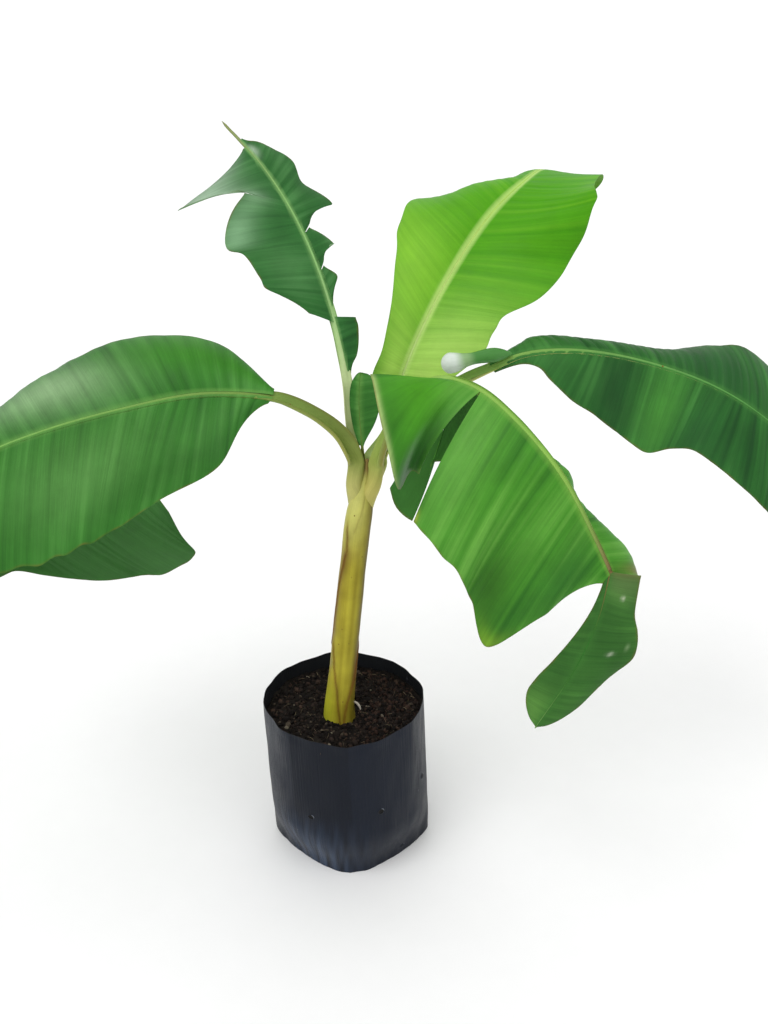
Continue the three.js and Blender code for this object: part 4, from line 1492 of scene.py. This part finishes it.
@dataclass
class FalseStem:
    """The false stem, of wrapped leaf sheaths whose free edges show as seams."""

    path: tuple[Point, ...] = ((-13, -16, 176), (-13, -16, 195), (-8, -14, 250), (2, -9, 350), (12, -3, 440),
                               (20, 3, 490), (22, 5, 512))
    radii: tuple[float, ...] = (20.5, 18.6, 17.2, 16.4, 16, 16, 16, 15.6, 15.6, 15.8, 15, 9.5, 3)
    seams: tuple[Seam, ...] = (
        Seam((176, 204, 230, 276, 290), (-80, -92, -107, -145, -152), stain=0.95),
        Seam((176, 210, 238, 280, 290), (-76, -63, -38, 0, 10), turns_left=False, stain=0.95, spread=8),
        Seam((280, 332, 372, 411), (-184, -166, -152, -124), step=1.0, stain=1.0, spread=19),
        Seam((405, 420, 440), (-122, -130, -143), step=0.8, stain=1.0, spread=6),
        Seam((240, 330, 420, 500), (60, 80, 110, 120), step=1.0, stain=0.4),
        Seam((430, 452, 476), (-104, -84, -78), step=0.4, stain=0.35, spread=4),
    )
    seam_wander: float = 1.5
    seam_fade: float = 30.0
    sheath: float = 0.8
    coat: StemPaint = StemPaint()
    rows: int = 190
    sides: int = 96

    def _relief(self, angle: Array, height: Array) -> tuple[Array, Array]:
        """Works out what the sheaths' free edges do.

        Args:
            angle: Degrees round the stem.
            height: Heights in mm.

        Returns:
            How far each place stands proud, in mm, and how stained it is.
        """
        proud = np.zeros(angle.shape)
        stain = np.zeros(angle.shape)
        for number, seam in enumerate(self.seams):
            wander = self.seam_wander * Ripple(900 + number)(height / 12)
            at = np.interp(height, seam.heights, seam.angles) + wander
            off = (angle - at + 180) % 360 - 180
            behind = -off if seam.turns_left else off
            live = ease(seam.heights[0] - 4, seam.heights[0] + 4, height) * ease(
                seam.heights[-1] + 10, seam.heights[-1] - 10, height)
            fading = np.where(behind > 0, np.exp(-np.maximum(behind, 0) / self.seam_fade), 0)
            proud += seam.step * live * fading
            stain = np.maximum(stain, seam.stain * live * np.exp(-np.abs(off) / seam.spread))
        return proud, stain

    def build(self) -> bpy.types.Object:
        """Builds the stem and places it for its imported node.

        Returns:
            The piece.
        """
        line = CentreLine(self.path)
        place = np.linspace(0, 1, self.rows)
        centre = line.at(place)
        along = line.along(place)
        across = unit(np.cross(np.broadcast_to((0.0, 1.0, 0.0), along.shape), along))
        deep = np.cross(along, across)
        angle = np.broadcast_to(np.linspace(-180, 180, self.sides, endpoint=False), (self.rows, self.sides))
        height = np.broadcast_to(centre[:, 2:3], angle.shape)
        proud, stain = self._relief(angle, height)
        swell = 0.25 * Ripple(77)(height / 25, angle / 40)
        radius = spread(self.radii, place)[:, None] + proud - self.sheath + swell
        turn = np.radians(angle)
        rings = hoops(centre, across, deep, radius * np.cos(turn), radius * np.sin(turn))
        body = Body("false_stem")
        body.tube(rings, self._shades(angle, height, stain), vectors(turn * 17, height), 0)
        piece = body.make([STEM.material()])
        settle(piece, ["pseudostem"])
        return piece

    def _shades(self, angle: Array, height: Array, stain: Array) -> Array:
        """Paints the stem: yellow, greener at its left foot, with olive painted shade on its right and back
        and brown at the seams.

        Args:
            angle: Degrees round the stem.
            height: Heights in mm.
            stain: How stained each place is by a free edge.

        Returns:
            The colour of each place.
        """
        coat = self.coat
        tone = 0.5 + 0.35 * Ripple(81)(angle / 22, height / 120) + 0.2 * Ripple(82)(height / 30, angle / 60)
        base = blend(np.broadcast_to(coat.deep, angle.shape + (3,)), coat.bright, np.clip(tone, 0, 1))
        upper = ease(380, 470, height) * ease(-10, -130, np.abs(angle + 130) - 140)
        base = blend(base, coat.upper, 0.8 * upper)
        base = blend(base, coat.foot, ease(-80, -150, angle) * ease(250, 200, height))
        # Painted shade: the right and back of the stem, turned from the light, are darkened to olive.
        side = ease(-72, -20, angle) * ease(200, 90, angle)
        base = blend(base, coat.side, 0.82 * side)
        base = blend(base, coat.rear, 0.5 * ease(40, 110, angle))
        blotch = np.exp(-((angle + 25) / 22) ** 2 - ((height - 255) / 26) ** 2)
        base = blend(base, coat.blotch, 0.55 * blotch)
        base = blend(base, coat.seam, np.clip(stain, 0, 1) * 0.9)
        return blend(base, coat.fork, 0.7 * ease(FORK - 12, FORK, height))


# ---- Bag and potting mix ---------------------------------------------------------------------------------


@dataclass(frozen=True)
class FilmPaint:
    """The colours of the bag's film and of its drain holes, among them a painted reflection, a painted glint
    and painted shade.
    """

    outside: Colour = paint(30, 38, 54)
    inside: Colour = paint(52, 54, 57)
    worn: Colour = paint(92, 112, 144)
    # pale is a painted reflection, lighter, high on the bag's left side.
    pale: Colour = paint(84, 88, 98)
    dust: Colour = paint(70, 74, 82)
    lip: Colour = paint(44, 52, 66)
    # A painted glint on the upper side of each hole's lip.
    lip_glint: Colour = paint(190, 200, 214)
    # Painted shade inside each hole.
    hole_shade: Colour = paint(8, 8, 9)


@dataclass
class NurseryBag:
    """The black film bag: a square foot that turns into a round body, creased, with an uneven rim."""

    height: float = 205.0
    rim_radius: float = 98.0
    rim_shift: float = -8.0
    foot_corner: float = 98.0
    foot_depth: float = 89.0
    foot_roundness: float = 1.32
    shoulder: float = 70.0
    film: float = 0.45
    creases: tuple[float, ...] = (-172, -129, -86, -34, 8, 52, 96, 140)
    sag: float = 3.0
    rim_drop: float = 2.5
    rim_swell: float = 2.0
    rim_dip: float = 3.0
    holes: tuple[tuple[float, float], ...] = ((-115.5, 92), (-65, 102), (-40.5, 13), (-20.2, 109), (64, 90),
                                              (110, 104), (150, 88), (20, 60))
    hole_radius: float = 3.8
    hole_profile: tuple[tuple[float, float], ...] = ((1.2, -0.3), (1.06, 0.5), (0.96, 0.55), (0.88, 0.2),
                                                     (0.4, 0.15))
    hole_sides: int = 24
    coat: FilmPaint = FilmPaint()
    rows: int = 96
    foot_rows: int = 16
    sides: int = 288

    def outline(self, angle: Array, height: Array, inset: float = 0.0) -> tuple[Array, Array]:
        """Gives the bag's smooth outline.

        Args:
            angle: Degrees round the bag.
            height: Heights in mm.
            inset: How far it is moved inwards, in mm.

        Returns:
            The places across and away.
        """
        round_share = ease(0, self.shoulder, height)
        power = self.foot_roundness + (2 - self.foot_roundness) * round_share
        reach = self.foot_corner + (self.rim_radius - self.foot_corner) * height / self.height - inset
        depth = self.foot_depth / self.foot_corner
        depth = depth + (1 - depth) * round_share
        c = np.cos(np.radians(angle))
        s = np.sin(np.radians(angle))
        radius = reach / (np.abs(c) ** power + np.abs(s) ** power) ** (1 / power)
        return self.rim_shift * height / self.height + radius * c, depth * radius * s

    def wall(self, angle: Array, share: Array, inset: float) -> Array:
        """Gives the creased wall.

        Args:
            angle: Degrees round the bag.
            share: Shares of the wall's height.
            inset: How far the wall is moved inwards, in mm.

        Returns:
            The points.
        """
        marks = np.array(sorted(self.creases))
        marks = np.r_[marks[-1] - 360, marks, marks[0] + 360]
        index = np.clip(np.searchsorted(marks, angle) - 1, 0, len(marks) - 2)
        between = (angle - marks[index]) / (marks[index + 1] - marks[index])
        arc = (marks[index + 1] - marks[index]) / 45
        dip = self.rim_dip * ease(-30, -60, angle) * ease(-150, -120, angle)
        height = share * (self.height - self.rim_drop + self.rim_swell * Ripple(5)(angle / 50) - dip)
        sag = self.sag * arc ** 2 * (1 - np.abs(2 * between - 1) ** 1.6)
        strength = 0.25 + 0.75 * ease(90, 200, height)
        wander = Ripple(6)(angle / 11, height / 40) * (0.5 + 0.6 * ease(60, 0, height))
        flare = 1.2 * ease(0.93, 1.0, share) * Ripple(8)(angle / 18)
        blunt = 5.0 * np.exp(-((angle + 90) / 9) ** 2) * ease(60, 0, height)
        x, y = self.outline(angle, height, inset)
        pull = 1 - (sag * strength - 0.6 - wander * 0.8 - flare + blunt) / self.rim_radius
        pull = np.where(height < 1.0, np.minimum(pull, 1.0), pull)
        shift = self.rim_shift * height / self.height
        return np.stack([shift + (x - shift) * pull, y * pull, height], -1)

    def punch(self) -> bpy.types.Object:
        """Builds the punched drain holes, each with painted shade in its middle and a stretched lip with a
        painted glint, as one joined piece.

        Returns:
            The piece.
        """
        body = Body("bag_drain_holes")
        turn = np.linspace(0, 2 * math.pi, self.hole_sides, endpoint=False)
        for number, (angle, height) in enumerate(self.holes):
            share = height / self.height
            middle, aside, above = (self.wall(np.array([a]), np.array([h]), 0.0)[0] for a, h in
                                    ((angle, share), (angle + 2, share), (angle, share + 0.02)))
            across = unit(aside - middle)
            outward = unit(np.cross(across, above - middle))
            upward = np.cross(outward, across)
            squash = 0.75 + 0.25 * math.sin(2.2 * number)
            rings = np.stack([middle + off * outward + self.hole_radius * reach * (
                np.cos(turn)[:, None] * across + squash * np.sin(turn)[:, None] * upward)
                for reach, off in self.hole_profile])
            # Painted glint: a whitish streak on the upper side of the lip's outer rings.
            shine = ease(0.6, 1, np.sin(turn + 0.9)) * np.array([0, 0.8, 0.8, 0, 0])[:, None]
            lip = blend(np.broadcast_to(self.coat.lip, rings.shape), self.coat.lip_glint, shine)
            # The inner rings are painted near black, as shade inside the hole.
            lip[3:] = self.coat.hole_shade
            body.tube(rings, lip, rings, 0)
        piece = body.make([FILM.material()])
        settle(piece)
        return piece

    def build(self) -> bpy.types.Object:
        """Builds the bag's film, outside, rim, inside and floor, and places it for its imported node.

        Returns:
            The piece.
        """
        angle = np.linspace(-180, 180, self.sides, endpoint=False)[None]
        share = np.r_[np.linspace(0, 0.2, self.foot_rows, endpoint=False),
                      np.linspace(0.2, 1, self.rows - self.foot_rows)][:, None]
        angles = np.broadcast_to(angle, (self.rows, self.sides))
        shares = np.broadcast_to(share, angles.shape)
        outer = self.wall(angles, shares, 0.0)
        inner = self.wall(angles, shares, self.film)
        inner[0, :, 2] = self.film
        rings = np.concatenate([outer, inner[::-1]])
        tall = np.concatenate([shares, shares[::-1]])
        inside = np.r_[np.zeros(self.rows), np.ones(self.rows)][:, None]
        wide = np.concatenate([angles, angles])
        trace = vectors(np.radians(wide) * self.rim_radius, tall * self.height)
        body = Body("bag_film")
        body.tube(rings, self._shades(wide, tall, inside), trace, 0)
        piece = body.make([FILM.material()], crease=70)
        settle(piece, ["bag"])
        return piece

    def _shades(self, angle: Array, share: Array, inside: Array) -> Array:
        """Paints the film: near black, with a blue grey cast outside, dusty scuffs and a painted reflection
        high on its left side.

        Args:
            angle: Degrees round the bag.
            share: Shares of the wall's height.
            inside: 1 on the film's inner face and 0 on its outer.

        Returns:
            The colour of each place.
        """
        coat = self.coat
        outside = 1 - inside
        base = np.broadcast_to(coat.outside, angle.shape + (3,))
        # Painted reflection: the facets between creases are painted lighter and darker in turn.
        number = np.searchsorted(np.array(sorted(self.creases)), angle)
        base = base * (1 + 0.16 * np.sin(2.4 * number))[..., None]
        base = blend(base, coat.inside, 0.9 * inside)
        dust = np.clip(0.35 * Ripple(9)(angle / 26, share * 3) + 0.3 * ease(0.35, 0, share), 0, 1)
        worn = 1.3 * np.exp(-((angle + 120) / 30) ** 2) * ease(0.5, 0.1, share)
        # Painted reflection: a lighter band high on the bag's left side.
        pale = np.exp(-((angle + 158) / 16) ** 2) * ease(0.5, 0.9, share)
        streaks = 0.5 + 0.5 * Ripple(12)(angle / 3.5, share * 6)
        base = blend(base, coat.worn, np.clip(worn * streaks, 0, 0.9) * outside)
        base = blend(base, coat.pale, 0.7 * pale * outside)
        return blend(base, coat.dust, 0.35 * dust * outside)


@dataclass(frozen=True)
class MixPaint:
    """The colours of the potting mix, its crumbs from the commonest to the rarest, and its fine roots."""

    deep: Colour = paint(28, 25, 23)
    bright: Colour = paint(56, 50, 45)
    crumbs: tuple[Colour, ...] = paints((34, 30, 28), (48, 41, 37), (62, 51, 45), (78, 62, 53), (96, 86, 74),
                                        (136, 126, 110))
    crumb_shares: tuple[float, ...] = (0.36, 0.3, 0.19, 0.1, 0.04, 0.01)
    warm_crumb: Colour = paint(72, 54, 46)
    fibre: Colour = paint(150, 134, 110)
    root_tip: Colour = paint(226, 216, 200)


@dataclass
class PottingMix:
    """The mix in the bag: a lumpy bed, crumbs, bark chips and fine roots on it."""

    bag: NurseryBag
    level: float = 183.0
    foot: float = 2.0
    inset: float = 0.8
    rings: int = 80
    sides: int = 220
    crumbs: int = 3600
    crumb_least: float = 0.7
    crumb_most: float = 3.2
    fine_from: float = 1.3
    roots: int = 70
    root_tip: tuple[Point, ...] = ((4, -19, 208), (8, -21, 206.5), (11, -22, 203), (13, -23, 198))
    root_tip_radius: float = 1.5
    stem_at: tuple[float, float] = (-13, -16)
    coat: MixPaint = MixPaint()
    seed: int = 31

    def _surface(self, x: Array, y: Array) -> Array:
        """Gives the height of the bed.

        Args:
            x: Places across.
            y: Places away.

        Returns:
            The heights in mm.
        """
        swell = 1.6 * Ripple(15)(x / 40, y / 40)
        lumps = 1.3 * Ripple(16)(x / 7, y / 7) + 0.7 * Ripple(17)(x / 3, y / 3)
        mound = 2.0 * np.exp(-((x - self.stem_at[0]) ** 2 + (y - self.stem_at[1]) ** 2) / 40 ** 2)
        return self.level + swell + lumps + mound

    def bed(self) -> bpy.types.Object:
        """Builds the bed down to the bag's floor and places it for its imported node.

        Returns:
            The piece.
        """
        angle = np.linspace(-180, 180, self.sides, endpoint=False)
        share = np.linspace(0.03, 1, self.rings)[:, None]
        rim = self.bag.wall(angle, np.full(self.sides, self.level / self.bag.height), self.inset)
        x, y = share * rim[:, 0], share * rim[:, 1]
        top = vectors(x, y, self._surface(x, y))
        heights = np.array([150.0, 100.0, 60.0, 30.0, self.foot])
        side = np.stack([self.bag.wall(angle, np.full(self.sides, h / self.bag.height), self.inset + 1.5)
                         for h in heights])
        rings = np.concatenate([side[::-1], top[::-1]])
        tone = 0.5 + 0.4 * Ripple(18)(rings[..., 0] / 12, rings[..., 1] / 12)
        colours = blend(np.broadcast_to(self.coat.deep, rings.shape), self.coat.bright, np.clip(tone, 0, 1))
        body = Body("potting_mix_bed")
        body.tube(rings, colours, rings, 0)
        piece = body.make([MIX.material()], crease=80)
        settle(piece, ["soil"])
        return piece

    def _lump(self) -> tuple[Array, Array]:
        """Makes the plainest round lump, from which all crumbs are made.

        Returns:
            Its points and its triangles.
        """
        golden = (1 + math.sqrt(5)) / 2
        corners = [(a, b * golden, 0) for a in (-1, 1) for b in (-1, 1)]
        points = unit(np.array([np.roll(c, k) for k in range(3) for c in corners], float))
        near = np.linalg.norm(points[:, None] - points[None], axis=-1)
        linked = (near > 0.1) & (near < 1.2)
        faces = []
        for a in range(12):
            for b in range(a + 1, 12):
                for c in range(b + 1, 12):
                    if linked[a, b] and linked[b, c] and linked[a, c]:
                        ahead = np.dot(np.cross(points[b] - points[a], points[c] - points[a]), points[a]) > 0
                        faces.append((a, b, c) if ahead else (a, c, b))
        return points, np.array(faces)

    def _split(self, points: Array, faces: Array) -> tuple[Array, Array]:
        """Splits each triangle of a round lump into four, with the new points on the round.

        Args:
            points: The lump's points.
            faces: Its triangles.

        Returns:
            The finer lump's points and triangles.
        """
        known = {}
        listed = list(points)
        split = []
        for face in faces:
            middle = []
            for a, b in zip(face, np.roll(face, -1)):
                key = (min(a, b), max(a, b))
                if key not in known:
                    known[key] = len(listed)
                    listed.append(unit(points[a] + points[b]))
                middle.append(known[key])
            split += [(face[0], middle[0], middle[2]), (face[1], middle[1], middle[0]),
                      (face[2], middle[2], middle[1]), tuple(middle)]
        return np.array(listed), np.array(split)

    def scatter(self) -> bpy.types.Object:
        """Builds the crumbs and bark chips as one joined piece.

        Returns:
            The piece.
        """
        rng = np.random.default_rng(self.seed)
        coarse = self._lump()
        fine = self._split(*coarse)
        shades = np.array(self.coat.crumbs)
        body = Body("potting_mix_crumbs")
        for _ in range(self.crumbs):
            angle = rng.uniform(-180, 180)
            out = math.sqrt(rng.uniform(0.0, 0.94))
            x, y = (float(k) * out for k in self.bag.outline(np.array(angle), np.array(self.level), 4.0))
            size = min(self.crumb_least + self.crumb_least * rng.exponential(), self.crumb_most)
            lump, faces = fine if size > self.fine_from else coarse
            shape = lump * size * rng.uniform(0.5, 1.3, 3) * (1 + rng.uniform(-0.22, 0.22, (len(lump), 1)))
            shape = shape @ self._turn(rng).T
            centre = (x, y, float(self._surface(np.array(x), np.array(y))) + 0.35 * size)
            colour = shades[rng.choice(len(shades), p=self.coat.crumb_shares)] * rng.uniform(0.8, 1.2)
            if x > 20 and rng.uniform() < 0.35:
                colour = np.array(self.coat.warm_crumb) * rng.uniform(0.7, 1.1)
            numbers = body.points(shape + centre, colour, shape)
            chart = np.broadcast_to(np.array([(0.0, 0.0), (1.0, 0.0), (0.0, 1.0)]), (len(faces), 3, 2))
            body.faces(numbers[faces], chart, 0)
        piece = body.make([CRUMB.material()], crease=35)
        settle(piece)
        return piece

    def _turn(self, rng: np.random.Generator) -> Array:
        """A random rotation."""
        turned, _ = np.linalg.qr(rng.normal(size=(3, 3)))
        return turned * np.sign(np.linalg.det(turned))

    def fine_roots(self) -> bpy.types.Object:
        """Builds pale fibres and one white root tip beside the stem, as one joined piece.

        Returns:
            The piece.
        """
        rng = np.random.default_rng(self.seed + 1)
        body = Body("fine_roots")
        for _ in range(self.roots):
            angle = rng.uniform(-180, 180)
            out = math.sqrt(rng.uniform(0.02, 0.92))
            x, y = (float(k) * out for k in self.bag.outline(np.array(angle), np.array(self.level), 5.0))
            start = np.array([x, y, float(self._surface(np.array(x), np.array(y))) + 0.8])
            heading = rng.uniform(0, 2 * math.pi)
            length = rng.uniform(4, 13)
            bow = rng.uniform(-0.4, 0.4)
            steps = np.linspace(0, 1, 7)[:, None]
            ahead = np.array([math.cos(heading), math.sin(heading), 0.08])
            aside = np.array([-math.sin(heading), math.cos(heading), 0.0])
            path = start + length * (steps * ahead + bow * steps * (1 - steps) * aside)
            path[:, 2] += 1.2 * np.sin(math.pi * steps[:, 0])
            radius = rng.uniform(0.16, 0.34)
            self._fibre(body, path, radius, np.array(self.coat.fibre) * rng.uniform(0.5, 1.2))
        tip = CentreLine(self.root_tip).at(np.linspace(0, 1, 14))
        self._fibre(body, tip, self.root_tip_radius, np.array(self.coat.root_tip))
        piece = body.make([CRUMB.material()])
        settle(piece)
        return piece

    def _fibre(self, body: Body, path: Array, radius: float, colour: Array) -> None:
        """Adds a thin tapering fibre.

        Args:
            body: The mesh it is added to.
            path: The points it runs through.
            radius: Its greatest radius in mm.
            colour: Its colour.
        """
        steps = len(path)
        along = unit(np.gradient(path, axis=0))
        across = unit(np.cross(along, (0.3, 0.2, 1.0)))
        deep = np.cross(along, across)
        turn = np.linspace(0, 2 * math.pi, 7, endpoint=False)
        size = radius * np.sqrt(np.clip(np.sin(np.linspace(0.12, math.pi - 0.12, steps)), 0.02, 1))[:, None]
        rings = hoops(path, across, deep, size * np.cos(turn), size * np.sin(turn))
        body.tube(rings, np.broadcast_to(colour, rings.shape), rings, 0)


# ---- Studio ----------------------------------------------------------------------------------------------


@dataclass(frozen=True)
class Lamp:
    """A broad soft light: the way it is turned and its apparent size in degrees, and its strength."""

    name: str
    aim: tuple[float, float, float]
    strength: float
    size: float


@dataclass
class Studio:
    """A pale floor, soft light and the camera, placed in metres."""

    camera_at: Point = (0.041, -1.121, 0.975)
    pitch: float = 64.9
    lens: float = 38.67
    sensor: float = 36.0
    far_clip: float = 9000.0
    sky: float = 0.78
    lamps: tuple[Lamp, ...] = (Lamp("key", (34, 0, -40), 0.95, 40), Lamp("fill", (52, 0, 58), 0.35, 60),
                               Lamp("back", (-40, 0, 10), 0.35, 60))
    floor_reach: float = 3e6
    floor_drop: float = 0.3
    floor_tone: Colour = (0.92, 0.92, 0.92)

    def camera(self) -> None:
        """Sets up the camera."""
        data = bpy.data.cameras.new("camera")
        data.lens = self.lens
        data.sensor_fit = "VERTICAL"
        data.sensor_height = self.sensor
        data.clip_end = self.far_clip
        camera = bpy.data.objects.new("camera", data)
        camera.location = self.camera_at
        camera.rotation_euler = (math.radians(self.pitch), 0, 0)
        bpy.context.scene.collection.objects.link(camera)
        bpy.context.scene.camera = camera

    def light(self) -> None:
        """Sets up a bright even surround and the lamps."""
        scene = bpy.context.scene
        scene.view_settings.view_transform = "Standard"
        world = bpy.data.worlds.new("studio")
        world.use_nodes = True
        wiring = Wiring(world.node_tree)
        wiring.feed(world.node_tree.nodes["Background"], Color=(1.0, 1.0, 1.0), Strength=self.sky)
        scene.world = world
        for plan in self.lamps:
            data = bpy.data.lights.new(plan.name, "SUN")
            data.energy = plan.strength
            data.angle = math.radians(plan.size)
            lamp = bpy.data.objects.new(plan.name, data)
            lamp.rotation_euler = tuple(math.radians(angle) for angle in plan.aim)
            scene.collection.objects.link(lamp)

    def floor(self) -> None:
        """Lays a wide pale floor under the bag."""
        body = Body("floor")
        reach = self.floor_reach * np.linspace(-1, 1, 61) ** 5
        x, y = np.meshgrid(reach, reach, indexing="ij")
        numbers = body.points(vectors(x, y, -self.floor_drop), np.array(self.floor_tone), vectors(x, y))
        body.sheet(numbers, 0, flip=True)
        pale = Finish("studio_floor", roughness=(0.8, 0.9), pitch=40, run=40, streak=0.01, mottle_size=0.4,
                      mottle=0.01, relief=0.0001, relief_strength=0.1, specular=0.1, gain=1.0)
        body.make([pale.material()])


def main() -> None:
    """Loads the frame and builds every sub-assembly in order."""
    logging.basicConfig(level=logging.INFO, format="%(message)s")
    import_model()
    studio = Studio()
    studio.camera()
    studio.light()
    studio.floor()
    bag = NurseryBag()
    bag.build()
    bag.punch()
    mix = PottingMix(bag)
    mix.bed()
    mix.scatter()
    mix.fine_roots()
    FalseStem().build()
    for plan in LEAVES:
        leaf = Leaf(plan)
        leaf.limb()
        leaf.blade()
    RolledBase().build()


if __name__ == "__main__":
    main()
